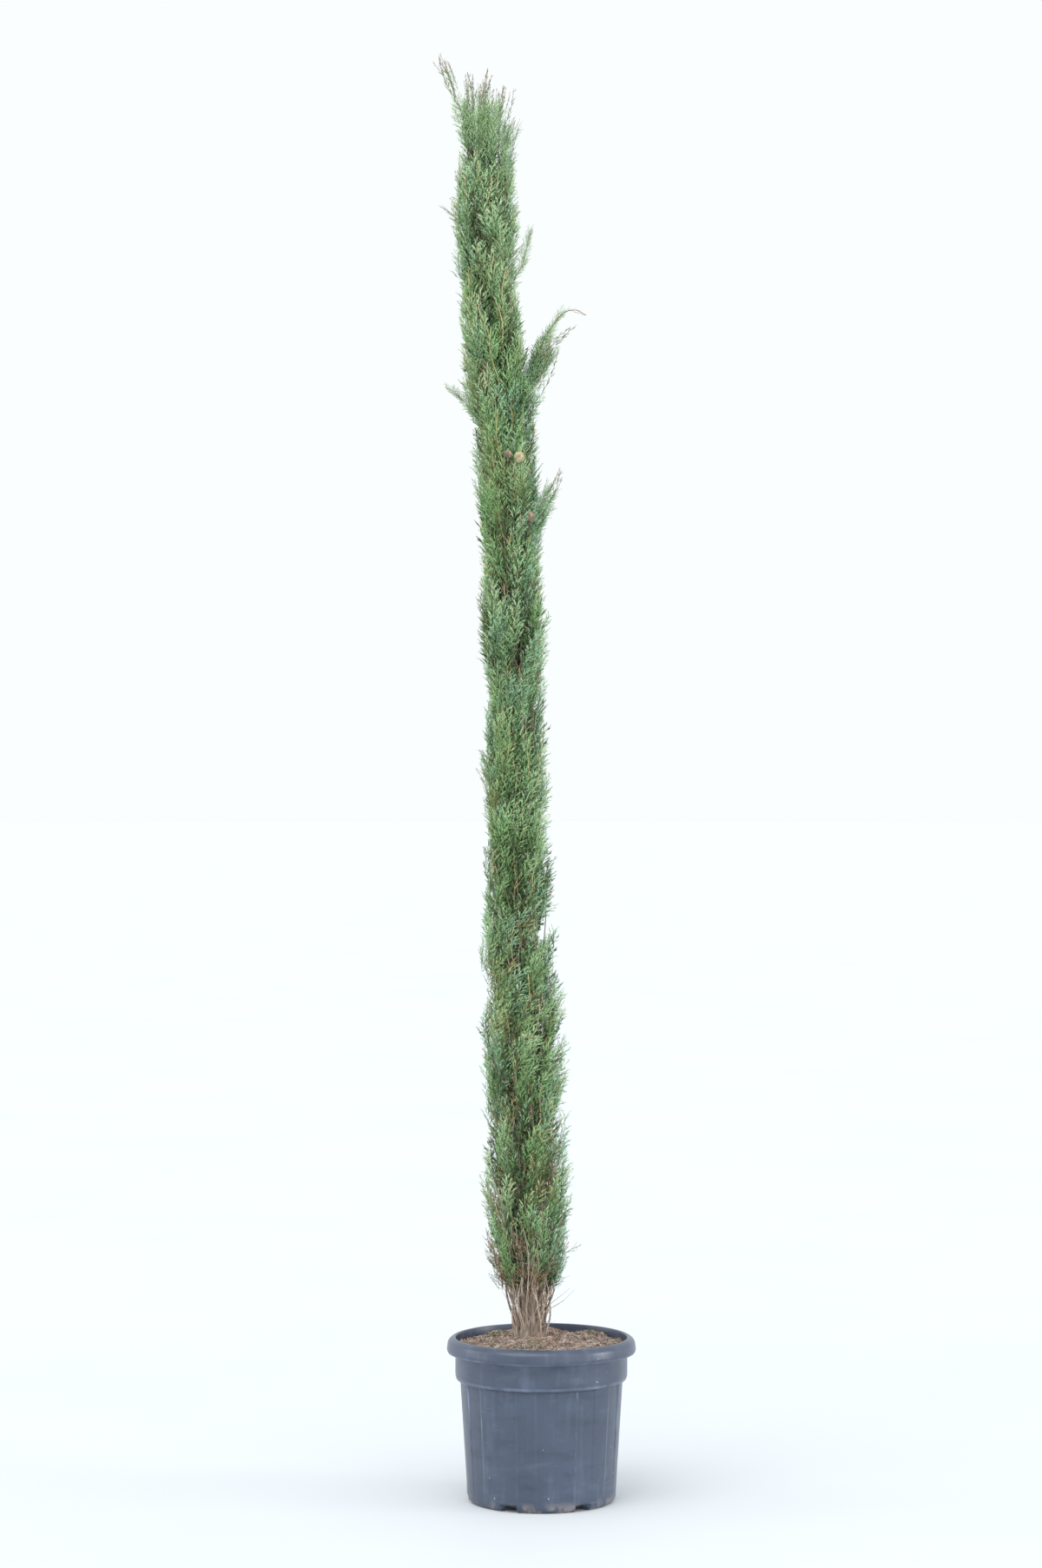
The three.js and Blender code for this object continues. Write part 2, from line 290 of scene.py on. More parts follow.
def hand_over(piece: Piece, finish: Material, nodes: list[str] | None = None) -> None:
    """Gives a finished piece its material, parents it to the root body and hides the frame's nodes that it
    stands for.

    Args:
        piece: the finished mesh object.
        finish: its material.
        nodes: the nodes of the frame that it stands for.
    """
    piece.data.materials.clear()
    piece.data.materials.append(finish)
    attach(piece, BODY)
    if nodes:
        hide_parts(*nodes)
    log.info("%s: %d faces", piece.name, len(piece.data.polygons))


def nodes_named(*starts: str) -> list[str]:
    """Lists the frame's nodes whose names begin with one of the given words."""
    return sorted(name for name in frame["nodes"] if name.startswith(starts))


def node_points(name: str) -> Array:
    """Reads a node's distinct vertices as rows of x, y, z."""
    mesh = frame["nodes"][name].data
    points = np.zeros(len(mesh.vertices) * 3, np.float32)
    mesh.vertices.foreach_get("co", points)
    return np.unique(np.round(points.reshape(-1, 3).astype(float), 5), axis=0)


@dataclass
class Spine:
    """The middle line and the thickness of a limb of the frame, read ring by ring."""

    points: Array
    radii: Array

    @classmethod
    def of(cls, name: str, heading: Triple, gap: float) -> "Spine":
        """Reads a node that was lofted from rings.

        Args:
            name: the node.
            heading: roughly the way the limb runs.
            gap: the least distance between two rings.

        Returns:
            The limb's spine, from its foot to its tip.
        """
        points = node_points(name)
        place = points @ unit(np.array(heading))
        order = np.argsort(place)
        breaks = np.nonzero(np.diff(place[order]) > gap)[0] + 1
        rings = [points[part] for part in np.split(order, breaks)]
        middles = np.array([(ring.min(0) + ring.max(0)) / 2 for ring in rings])
        radii = [np.linalg.norm(ring - middle, axis=1).max() for ring, middle in zip(rings, middles)]
        return cls(middles, np.array(radii))

    def at(self, share: Array) -> Array:
        """Finds points along the spine, where share runs from 0 at its foot to 1 at its tip."""
        steps = np.linalg.norm(np.diff(self.points, axis=0), axis=1)
        known = np.concatenate([[0], np.cumsum(steps)]) / steps.sum()
        return np.stack([np.interp(share, known, self.points[:, i]) for i in range(3)], axis=-1)


# ---- finishes


def pick(sockets: bpy.types.bpy_prop_collection, label: str) -> Socket:
    """Finds a socket by its number, or by its name with low lines for spaces."""
    return sockets[int(label) if label.isdigit() else label.replace("_", " ")]


def add_node(tree: bpy.types.NodeTree, kind: str, **settings: object) -> bpy.types.Node:
    """Adds a node to a tree.

    Args:
        tree: the tree.
        kind: the node's type.
        settings: its properties, or the value of an input where the name ends in _in.

    Returns:
        The new node.
    """
    made = tree.nodes.new(kind)
    for key, value in settings.items():
        if key.endswith("_in"):
            pick(made.inputs, key[:-3]).default_value = value
        else:
            setattr(made, key, value)
    return made


@dataclass
class Bench:
    """A material under construction, with short ways to add and join its nodes."""

    name: str
    roughness: float = 0.6

    def __post_init__(self) -> None:
        """Makes the material and its shader."""
        self.material = bpy.data.materials.new(self.name)
        self.material.use_nodes = True
        self.tree = self.material.node_tree
        self.shader = self.tree.nodes["Principled BSDF"]
        self.shader.inputs["Roughness"].default_value = self.roughness
        self.shader.inputs["Specular IOR Level"].default_value = 0.3

    def node(self, kind: str, **settings: object) -> bpy.types.Node:
        """Adds a node, with settings as add_node takes them."""
        return add_node(self.tree, kind, **settings)

    def join(self, source: Socket, target: Socket) -> None:
        """Links two sockets."""
        self.tree.links.new(source, target)

    def place(self, stretch: Triple = (1, 1, 1)) -> Socket:
        """Gives object coordinates, scaled by stretch."""
        where = self.node("ShaderNodeTexCoord")
        mapping = self.node("ShaderNodeMapping", Scale_in=stretch)
        self.join(where.outputs["Object"], mapping.inputs["Vector"])
        return mapping.outputs["Vector"]

    def noise(self, place: Socket, scale: float, detail: float = 4) -> Socket:
        """Adds fractal noise at a place and returns its value."""
        made = self.node("ShaderNodeTexNoise", Scale_in=scale, Detail_in=detail, Roughness_in=0.6)
        self.join(place, made.inputs["Vector"])
        return made.outputs["Fac"]

    def ramp(self, value: Socket, stops: list[tuple[float, str]]) -> Socket:
        """Turns a value into a colour through stops of (value, colour code).

        Args:
            value: the value.
            stops: values and the colours that they stand for.

        Returns:
            The colour.
        """
        made = self.node("ShaderNodeValToRGB")
        band = made.color_ramp.elements
        while len(band) < len(stops):
            band.new(0.5)
        for element, (position, code) in zip(band, stops):
            element.position = position
            element.color = paint(code)
        self.join(value, made.inputs["Fac"])
        return made.outputs["Color"]

    def window(self, value: Socket, low: float, high: float, top: float = 1) -> Socket:
        """Maps a value from low..high to 0..top, clamped; low may be above high."""
        made = self.node("ShaderNodeMapRange", From_Min_in=low, From_Max_in=high, To_Max_in=top)
        self.join(value, made.inputs["Value"])
        return made.outputs["Result"]

    def times(self, one: Socket, two: Socket) -> Socket:
        """Multiplies two values."""
        made = self.node("ShaderNodeMath", operation="MULTIPLY")
        self.join(one, made.inputs[0])
        self.join(two, made.inputs[1])
        return made.outputs[0]

    def cover(
        self, below: Socket, code: str, share: Socket
    ) -> Socket:
        """Lays a colour over another by a share from 0 to 1."""
        made = self.node("ShaderNodeMix", data_type="RGBA")
        self.join(share, made.inputs["Factor"])
        self.join(below, made.inputs[6])
        made.inputs[7].default_value = paint(code)
        return made.outputs[2]

    def emboss(self, height: Socket, strength: float, distance: float) -> None:
        """Raises the surface's shading by a height value."""
        made = self.node("ShaderNodeBump", Strength_in=strength, Distance_in=distance)
        self.join(height, made.inputs["Height"])
        self.join(made.outputs["Normal"], self.shader.inputs["Normal"])

    def coat(self, colour: Socket) -> None:
        """Sends a colour to the shader."""
        self.join(colour, self.shader.inputs["Base Color"])

    def vary_roughness(self, value: Socket, low: float, high: float) -> None:
        """Drives the roughness from a value between 0 and 1."""
        made = self.node("ShaderNodeMapRange", To_Min_in=low, To_Max_in=high)
        self.join(value, made.inputs["Value"])
        self.join(made.outputs["Result"], self.shader.inputs["Roughness"])


@dataclass(frozen=True)
class LeafFinish:
    """One plain green of the scale leaves; the crown's mottling comes from many of these."""

    name: str
    colour: str
    roughness: float = 0.62

    def material(self) -> Material:
        """Makes the material."""
        bench = Bench(self.name, self.roughness)
        bench.shader.inputs["Base Color"].default_value = paint(self.colour)
        return bench.material


@dataclass(frozen=True)
class BarkFinish:
    """Fibrous bark: long streaks of grey and brown with a lighter weathered film."""

    name: str
    dark: str
    middle: str
    light: str
    scale: float = 70
    stretch: float = 0.16
    relief: float = 0.0012

    def material(self) -> Material:
        """Makes the material.

        Returns:
            The material.
        """
        bench = Bench(self.name, 0.85)
        streaks = bench.noise(bench.place((1, 1, self.stretch)), self.scale, 7)
        blotches = bench.noise(bench.place((1, 1, 0.5)), self.scale * 0.28, 3)
        colour = bench.ramp(streaks, [(0.3, self.dark), (0.5, self.middle), (0.68, self.light)])
        colour = bench.cover(colour, self.light, bench.window(blotches, 0.5, 0.72, 0.6))
        bench.coat(colour)
        bench.vary_roughness(streaks, 0.75, 0.95)
        bench.emboss(streaks, 0.8, self.relief)
        return bench.material


@dataclass(frozen=True)
class CrumbFinish:
    """Loose organic matter, whose colour changes from piece to piece, with painted shade in the grain's low
    spots.
    """

    name: str
    colours: str
    scale: float
    grain: float = 420
    relief: float = 0.0008

    def material(self) -> Material:
        """Makes the material.

        Returns:
            The material.
        """
        bench = Bench(self.name, 0.9)
        place = bench.place()
        patches = bench.noise(place, self.scale, 2)
        codes = self.colours.split()
        span = np.linspace(0.33, 0.67, len(codes))
        colour = bench.ramp(patches, list(zip(span.tolist(), codes)))
        grain = bench.noise(place, self.grain, 4)
        # Painted shade: the grain's low spots, which the bump sinks, take the darkest colour.
        shade = bench.window(grain, 0.62, 0.36, 0.35)
        bench.coat(bench.cover(colour, codes[0], shade))
        bench.vary_roughness(grain, 0.8, 1.0)
        bench.emboss(grain, 0.7, self.relief)
        return bench.material


@dataclass(frozen=True)
class PotFinish:
    """Slate-blue moulded plastic, dulled by handling, with scratches, specks of lime, and pale edges that
    are partly worn and partly painted highlight.
    """

    name: str = "pot_plastic"
    body: str = "3c4657"
    cool: str = "434e62"
    worn: str = "8c9ab2"
    dark: str = "2c3443"
    mud: str = "a3958c"
    lime: str = "c9d1de"
    foot: float = 0.03

    def material(self) -> Material:
        """Makes the material.

        Returns:
            The material.
        """
        bench = Bench(self.name, 0.4)
        bench.shader.inputs["Specular IOR Level"].default_value = 0.55
        plain = bench.place()
        clouds = bench.noise(plain, 7, 5)
        scuffs = bench.noise(bench.place((1, 1, 2.6)), 13, 6)
        colour = bench.ramp(clouds, [(0.32, self.body), (0.68, self.cool)])
        streaks = bench.noise(bench.place((1, 1, 0.12)), 38, 3)
        colour = bench.cover(colour, self.worn, bench.window(streaks, 0.52, 0.72, 0.1))
        colour = bench.cover(colour, self.worn, bench.window(scuffs, 0.56, 0.74, 0.1))
        colour = bench.cover(colour, self.dark, bench.window(scuffs, 0.46, 0.3, 0.45))
        # Long shallow scratches: noise pulled out along two slanted ways.
        for turn, strength in ((0.55, 0.34), (-0.25, 0.24)):
            mapping = bench.node("ShaderNodeMapping", Scale_in=(5, 5, 150), Rotation_in=(0, turn, 0))
            bench.join(bench.node("ShaderNodeTexCoord").outputs["Object"], mapping.inputs["Vector"])
            lines = bench.window(bench.noise(mapping.outputs["Vector"], 1.6, 1), 0.735, 0.78, strength)
            where = bench.window(bench.noise(plain, 9, 1), 0.5, 0.62)
            colour = bench.cover(colour, self.worn, bench.times(lines, where))
        # Pale edges and rims read from the mesh: partly worn plastic, partly painted highlight.
        wear_and_highlight = bench.node("ShaderNodeAttribute", attribute_name="edge_wear")
        patchy = bench.window(bench.noise(plain, 16, 4), 0.38, 0.64)
        colour = bench.cover(colour, self.worn, bench.times(wear_and_highlight.outputs["Fac"], patchy))
        specks = bench.node("ShaderNodeTexVoronoi", Scale_in=42, Randomness_in=1)
        bench.join(plain, specks.inputs["Vector"])
        dots = bench.window(specks.outputs["Distance"], 0.08, 0.045, 0.85)
        sparse = bench.window(bench.noise(plain, 21, 0), 0.6, 0.64)
        colour = bench.cover(colour, self.lime, bench.times(dots, sparse))
        split = bench.node("ShaderNodeSeparateXYZ")
        bench.join(plain, split.inputs["Vector"])
        low = bench.window(split.outputs["Z"], self.foot, 0.004, 0.85)
        stains = bench.window(bench.noise(plain, 30, 5), 0.47, 0.6, 0.7)
        bench.coat(bench.cover(colour, self.mud, bench.times(low, stains)))
        bench.vary_roughness(clouds, 0.26, 0.4)
        bench.emboss(bench.noise(plain, 900, 2), 0.12, 0.0003)
        return bench.material


@dataclass(frozen=True)
class FloorFinish:
    """The studio's pale, matt floor."""

    name: str = "studio_floor"

    def material(self) -> Material:
        """Makes the material."""
        bench = Bench(self.name, 0.7)
        clouds = bench.noise(bench.place(), 0.8, 2)
        bench.coat(bench.ramp(clouds, [(0.3, "cfd3d7"), (0.7, "d2d6da")]))
        bench.shader.inputs["Specular IOR Level"].default_value = 0.15
        return bench.material


class Wood(Enum):
    """The barks of the tree, from the foot of the trunk to the whips at its tips."""

    TRUNK = BarkFinish("trunk_bark", "4c4139", "7c6e61", "a5988b")
    STEM = BarkFinish("stem_bark", "51443b", "83746a", "b0a294", 110, 0.12, 0.0008)
    TWIG_TAN = BarkFinish("twig_tan", "9a8358", "c0a678", "d8c295", 160, 0.3, 0.0003)
    TWIG_RED = BarkFinish("twig_red", "684638", "8c6251", "a98672", 160, 0.3, 0.0003)
    DRY = BarkFinish("dry_twig", "877465", "b09f8f", "cfc1b1", 150, 0.2, 0.0004)


class Tone(Enum):
    """A tint of the foliage: (share of the crown, inner colour, tip colour)."""

    # LIGHT is painted light on the plumes' tops; it is also dealt more high in the crown.
    LIGHT = (0.235, "93b983", "c0deac")
    FRESH = (0.3, "7faa6b", "a7cf92")
    BLUE = (0.19, "7ca67c", "a6cea8")
    YELLOW = (0.13, "90a368", "b4c68c")
    # SHADE is painted shade: the dark green of sprays deep in the plumes' crevices.
    SHADE = (0.11, "4b6440", "688658")
    DRY = (0.04, "8f7458", "b0946f")


# ---- the crown's outline


@dataclass
class Crown:
    """The trunk's line and the outline of the foliage round it, read from the frame."""

    levels: int = 110
    bearings: int = 36
    outside: float = 0.4

    def __post_init__(self) -> None:
        """Measures the frame: the trunk ring by ring, and the foliage by rays from outside."""
        self.trunk = Spine.of("trunk", (0, 0, 1), 0.02)
        names = nodes_named("foliage_")
        boxes = [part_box(name) for name in names]
        self.low = min(box[0].z for box in boxes)
        self.high = max(box[1].z for box in boxes)
        corners, faces = [], []
        for name in names:
            mesh = frame["nodes"][name].data
            faces += [[v + len(corners) for v in face.vertices] for face in mesh.polygons]
            corners += [v.co.copy() for v in mesh.vertices]
        surface = BVHTree.FromPolygons(corners, faces)
        self.heights = np.linspace(self.low + 0.004, self.high - 0.004, self.levels)
        self.grid = np.zeros((self.levels, self.bearings))
        for row, height in enumerate(self.heights):
            middle = self.axis(np.array(height))
            for column in range(self.bearings):
                bearing = column / self.bearings * TURN
                way = np.array([math.cos(bearing), math.sin(bearing), 0])
                start = Vector((*middle, height)) + Vector(way * self.outside)
                hit = surface.ray_cast(start, Vector(-way), self.outside)
                self.grid[row, column] = self.outside - hit[3] if hit[0] else 0.02

    def axis(self, height: Array) -> Array:
        """Finds the trunk's x and y at heights."""
        rings = self.trunk.points
        return np.stack([np.interp(height, rings[:, 2], rings[:, i]) for i in (0, 1)], axis=-1)

    def girth(self, height: Array) -> Array:
        """Finds the trunk's radius at heights."""
        return np.interp(height, self.trunk.points[:, 2], self.trunk.radii)

    def reach(self, height: Array, bearing: Array) -> Array:
        """Finds the outline's distance from the trunk's axis.

        Args:
            height: heights above the floor.
            bearing: angles about the axis.

        Returns:
            Radii, held the same above and below the foliage.
        """
        row = np.interp(height, self.heights, np.arange(self.levels))
        column = (bearing / TURN % 1) * self.bearings
        r0, c0 = np.floor(row).astype(int), np.floor(column).astype(int) % self.bearings
        r1, c1 = np.minimum(r0 + 1, self.levels - 1), (c0 + 1) % self.bearings
        up, round_ = row - np.floor(row), column - np.floor(column)
        low = blend(self.grid[r0, c0], self.grid[r0, c1], round_)
        high = blend(self.grid[r1, c0], self.grid[r1, c1], round_)
        return blend(low, high, up)

    def spot(self, height: Array, bearing: Array, radius: Array) -> Array:
        """Turns heights, bearings and radii about the trunk into x, y, z."""
        middle = self.axis(height)
        x = middle[..., 0] + radius * np.cos(bearing)
        y = middle[..., 1] + radius * np.sin(bearing)
        return np.stack([x, y, height], axis=-1)


# ---- limbs


def ridged(depth: float, ridges: int, seed: int, rings: int, sides: int, limbs: int = 1) -> Array:
    """Shapes long ridges of bark, as factors on a limb's radius.

    Args:
        depth: their depth, as a share of the radius.
        ridges: about how many go round the limb.
        seed: their seed.
        rings: rings of a limb.
        sides: corners of a ring.
        limbs: how many limbs.

    Returns:
        Factors near one, limbs by rings by sides.
    """
    rng = np.random.default_rng(seed)
    along = np.linspace(0, 1, rings)[None, :, None]
    total = np.zeros((limbs, rings, sides))
    for order in range(4):
        count = ridges * (order + 1) // 2 + order
        wander = rng.uniform(2, 7, (limbs, 1, 1)) * (order + 1)
        start = rng.uniform(0, TURN, (limbs, 1, 1))
        sway = 0.9 * np.sin(along * wander * 2 + start * 3)
        total += np.sin(count * bearings(sides) + sway + start) * np.cos(along * wander) / (order + 1)
    return 1 + depth * (total + rng.normal(0, 0.35, (limbs, rings, sides)))


def build_limbs(
    name: str, wood: "Wood", paths: Array, radii: Array, sides: int, nodes: list[str] | None = None
) -> None:
    """Makes one piece of round limbs and hands it over.

    Args:
        name: the piece's name.
        wood: its bark.
        paths: limbs by rings by x, y, z.
        radii: limbs by rings, and by sides where the bark has ridges.
        sides: corners of a ring.
        nodes: the nodes of the frame that it stands for.
    """
    mould = Mould()
    add_tubes(mould, paths, radii, sides)
    hand_over(mould.cast(name), wood.value.material(), nodes)


@dataclass
class Perches:
    """Points of groups of limbs, past the foot of each, to which twigs can be joined."""

    groups: list[Array]
    skip: float = 0.12

    def __post_init__(self) -> None:
        """Gathers the points and the limbs' directions there."""
        kept = [group[:, int(self.skip * group.shape[1]):] for group in self.groups]
        self.points = np.concatenate([group.reshape(-1, 3) for group in kept])
        self.ways = np.concatenate([unit(np.gradient(group, axis=1)).reshape(-1, 3) for group in kept])

    def nearest(self, places: Array, climb: float = 0.9) -> Array:
        """Finds for every place a limb point from which a twig can climb to it.

        Args:
            places: rows of x, y, z.
            climb: how steeply a twig would like to climb.

        Returns:
            Row numbers into the points.
        """
        found = np.zeros(len(places), int)
        for first in range(0, len(places), 400):
            part = places[first : first + 400]
            gap = part[:, None] - self.points[None]
            flat = np.hypot(gap[..., 0], gap[..., 1])
            rise = gap[..., 2]
            cost = np.hypot(flat, rise) + np.maximum(climb * flat - rise, 0) * 1.6
            found[first : first + 400] = cost.argmin(axis=1)
        return found

    def under(self, place: Array, drop: float) -> Array:
        """Finds the limb point that best carries a place, from a little under it."""
        return self.points[self.nearest(place[None] - [0, 0, drop])[0]]


@dataclass
class Limbs:
    """The trunk, the side stems that fan from its foot, and the boughs inside the crown."""

    crown: Crown
    soil_top: float
    boughs: int = 176
    bough_rings: int = 12
    lowest: float = 0.46
    shortest: float = 0.24
    longest: float = 0.5
    thick: float = 0.0040
    thin: float = 0.0008
    stem_rings: int = 40
    stem_span: tuple[float, float] = (0.42, 0.95)
    buried: float = 0.012
    flare: float = 0.32
    crook: float = 0.003
    slender: int = 46
    crossing: int = 380
    seed: int = 11

    def __post_init__(self) -> None:
        """Lays out the paths of the stems and the boughs."""
        self.rng = np.random.default_rng(self.seed)
        self.root_level = self.soil_top - self.buried
        self.stem_paths, self.stem_radii = self.lay_stems()
        self.bough_paths, self.bough_radii = self.lay_boughs()
        self.perches = Perches([self.bough_paths, self.stem_paths[:, self.stem_rings // 3:]])

    def lay_stems(self) -> tuple[Array, Array]:
        """Follows each side stem of the frame, then lets it climb on inside the crown.

        Returns:
            Paths and radii of the stems.
        """
        paths, radii = [], []
        share = np.linspace(0, 1, self.stem_rings)
        for name in nodes_named("stem_"):
            spine = Spine.of(name, (0, 0, 1), 0.006)
            foot, head = spine.points[0], spine.points[-1]
            top = head[2] + self.rng.uniform(*self.stem_span)
            drawn = np.linspace(0, 1, 8)
            known = spine.at(drawn)
            root = np.append(self.crown.axis(foot[2]) * 0.22 + foot[:2] * 0.78, self.root_level)
            offset = head[:2] - self.crown.axis(head[2])
            bearing = math.atan2(offset[1], offset[0])
            climb = np.linspace(0.1, 1, 12)
            height = blend(head[2], top, climb)
            drift = bearing + self.rng.uniform(-0.5, 0.5) * climb
            full = self.crown.reach(height, drift)
            radius = blend(np.linalg.norm(offset), full * self.rng.uniform(0.5, 0.74), climb ** 0.6)
            upper = self.crown.spot(height, drift, radius)
            whole = np.concatenate([root[None], known, upper])
            steps = np.concatenate([[0], np.cumsum(np.linalg.norm(np.diff(whole, axis=0), axis=1))])
            even = share * steps[-1]
            path = np.stack([np.interp(even, steps, whole[:, i]) for i in range(3)], axis=-1)
            phase = even[:, None] * self.rng.uniform(30, 60, 2) + self.rng.uniform(0, 6.3, 2)
            path[:, :2] += self.crook * np.sin(phase) * np.minimum(share * 8, 1)[:, None]
            paths.append(path)
            foot_radius = spine.radii.max() * self.rng.uniform(0.7, 1.05)
            flare = 0.48 + 0.52 * np.exp(-share * 17)
            radii.append(blend(foot_radius * flare, self.thin * 1.4, share ** 0.8))
        return np.array(paths), np.array(radii)

    def lay_boughs(self) -> tuple[Array, Array]:
        """Sends boughs up from the trunk, steep and close to it as on a columnar tree.

        Returns:
            Paths and radii of the boughs.
        """
        rng, count = self.rng, self.boughs
        share = np.linspace(0, 1, self.bough_rings)[None]
        top = self.crown.high + 0.02
        start = np.linspace(self.lowest, top - self.shortest * 0.5, count) + rng.uniform(-0.01, 0.01, count)
        length = np.minimum(rng.uniform(self.shortest, self.longest, count), top - start)[:, None]
        height = start[:, None] + length * share
        drift = rng.uniform(-0.45, 0.45, (count, 1)) * share
        weave = 0.1 * np.sin(6 * share + rng.uniform(0, 6.3, (count, 1)))
        bearing = (np.arange(count) * GOLDEN_ANGLE)[:, None] + drift + weave
        spread = (1 - np.exp(-2.8 * share)) / (1 - math.exp(-2.8))
        depth = rng.uniform(0.58, 0.84, (count, 1))
        full = self.crown.reach(height, bearing) * depth
        radius = blend(self.crown.girth(height) * 0.5, full, spread)
        thick = self.thick * (length / self.longest) ** 0.7
        return self.crown.spot(height, bearing, radius), blend(thick, self.thin, share ** 0.8)

    def build_trunk(self) -> None:
        """Makes the trunk with its bark, from inside the soil to its thin tip."""
        rings, sides = 260, 40
        spine = self.crown.trunk
        low, high = self.root_level, spine.points[-1, 2]
        height = blend(low, high, np.linspace(0, 1, rings) ** 1.25)
        middle = self.crown.axis(height)
        sway = 0.0016 * np.stack([np.sin(height * 21), np.cos(height * 17)], -1)
        path = np.concatenate([middle + sway, height[:, None]], axis=1)
        relief = ridged(0.07, 11, 3, rings, sides)
        flare = 1 + self.flare * np.exp((low - height) / 0.07)
        radii = (self.crown.girth(height) * 0.94 * flare)[None, :, None] * relief
        build_limbs("trunk_bark", Wood.TRUNK, path[None], radii, sides, ["trunk"])

    def build_stems(self) -> None:
        """Makes the side stems and the boughs with their bark."""
        sides = 12
        relief = ridged(0.06, 5, 5, self.stem_rings, sides, len(self.stem_paths))
        radii = self.stem_radii[..., None] * relief
        build_limbs("side_stems", Wood.STEM, self.stem_paths, radii, sides, nodes_named("stem_"))
        relief = ridged(0.07, 3, 6, self.bough_rings, 6, self.boughs)
        build_limbs("boughs", Wood.STEM, self.bough_paths, self.bough_radii[..., None] * relief, 6)

    def lay_slender(self) -> Array:
        """Sends thin crooked stems up from the foot, between and across the side stems.

        Returns:
            Paths of sixteen rings.
        """
        rng, count = self.rng, self.slender
        share = np.linspace(0, 1, 16)[None]
        bearing = (np.arange(count) * GOLDEN_ANGLE)[:, None] + rng.uniform(-0.8, 0.8, (count, 1)) * share
        height = blend(self.root_level, rng.uniform(0.58, 0.8, (count, 1)), share)
        foot, depth = rng.uniform(0.014, 0.043, (count, 1)), rng.uniform(0.45, 0.95, (count, 1))
        radius = blend(foot, self.crown.reach(height, bearing) * depth, share ** 1.1)
        waves = rng.uniform(5, 12, (count, 1, 2))
        starts = rng.uniform(0, 6.3, (count, 1, 2))
        wave = 0.008 * np.sin(share[..., None] * waves + starts) * np.minimum(share * 5, 1)[..., None]
        path = self.crown.spot(height, bearing, radius)
        path[..., :2] += wave
        return path

    def build_crossing(self) -> None:
        """Makes the thin stems and the dead, bare twigs under the lowest foliage."""
        rng, count = self.rng, self.crossing
        slender = self.lay_slender()
        relief = ridged(0.08, 3, 8, 16, 7, self.slender)
        taper = blend(rng.uniform(0.0012, 0.0031, (self.slender, 1)), 0.0008, np.linspace(0, 1, 16)[None])
        build_limbs("slender_stems", Wood.DRY, slender, taper[..., None] * relief, 7)
        stems = self.stem_paths[:, 2 : self.stem_rings // 2].reshape(-1, 3)
        low = np.concatenate([stems, slender[:, 2:13].reshape(-1, 3)])
        foot = low[rng.integers(0, len(low), count)]
        bearing = rng.uniform(0, TURN, count)
        rise = rng.uniform(0.4, 3.4, count)
        way = unit(np.stack([np.cos(bearing), np.sin(bearing), rise], -1))
        length = rng.uniform(0.02, 0.078, count)[:, None]
        share = np.linspace(0, 1, 7)[None, :, None]
        bend = unit(rng.normal(0, 1, (count, 3)))[:, None] * 0.3
        path = foot[:, None] + length[..., None] * (way[:, None] * share + bend * share * share)
        radii = blend(rng.uniform(0.0006, 0.0012, (count, 1)), 0.0003, np.linspace(0, 1, 7)[None])
        build_limbs("dry_twigs", Wood.DRY, path, radii, 5)

    def build(self) -> None:
        """Makes every woody piece of the column."""
        self.build_trunk()
        self.build_stems()
        self.build_crossing()


# ---- foliage


@dataclass(frozen=True)
class Clearing:
    """A place where the foliage is thin and the wood inside shows; its bearing is in degrees."""

    height: float
    bearing: float
    tall: float
    wide: float
    thinning: float

    def cover(self, height: Array, bearing: Array) -> Array:
        """Gives the share of sprays lost at heights and bearings."""
        up = (height - self.height) / self.tall
        turn = wrapped(bearing - math.radians(self.bearing))
        inside = np.exp(-2 * (up * up + (turn / self.wide) ** 2))
        return self.thinning * np.clip(inside * 1.6, 0, 1)


def bowed(bow: Array, share: Array | float) -> Array:
    """Finds the slightly bowed axis of a pattern at shares of its length."""
    swell = np.sin(math.pi * share)
    return np.stack([bow[0] * swell, bow[1] * swell, share], -1)


class Kind(Enum):
    """The kinds of spray: full ones, coarser ones well inside the crown in dark greens that are painted
    shade, and bare whips.
    """

    FULL = 0
    INSIDE = 1
    WHIP = 2

    def rows(self, count: int) -> Array:
        """Makes as many rows of this kind as asked for."""
        return np.full(count, self.value)


@dataclass
class Sprays:
    """Rows of sprays: where each starts, where it points, its length, tone and kind of pattern."""

    feet: Array
    ways: Array
    sides: Array
    lengths: Array
    tones: Array
    kinds: Array

    @classmethod
    def joined(cls, groups: list["Sprays"]) -> "Sprays":
        """Joins groups of sprays into one."""
        fields = cls.__dataclass_fields__
        return cls(*(np.concatenate([getattr(group, name) for group in groups]) for name in fields))

    def bared(self) -> "Sprays":
        """Makes the same rows whips instead of sprays."""
        return replace(self, kinds=Kind.WHIP.rows(len(self.feet)))

    def chosen(self, rows: Array) -> "Sprays":
        """Picks some of the rows."""
        return Sprays(*(getattr(self, name)[rows] for name in self.__dataclass_fields__))

    def turns(self, rng: np.random.Generator, spread: float) -> Array:
        """Works out each spray's turn as XYZ angles, with its broad face outwards.

        Args:
            rng: the random source of the spin about its own axis.
            spread: how far that spin may go.

        Returns:
            Rows of three angles.
        """
        broad = unit(np.cross(self.sides, self.ways))
        thin = np.cross(self.ways, broad)
        spin = rng.uniform(-spread, spread, len(broad))[:, None]
        x = broad * np.cos(spin) + thin * np.sin(spin)
        y = np.cross(self.ways, x)
        z = self.ways
        pitch = -np.arcsin(np.clip(x[:, 2], -1, 1))
        return np.stack([np.arctan2(y[:, 2], z[:, 2]), pitch, np.arctan2(x[:, 1], x[:, 0])], -1)


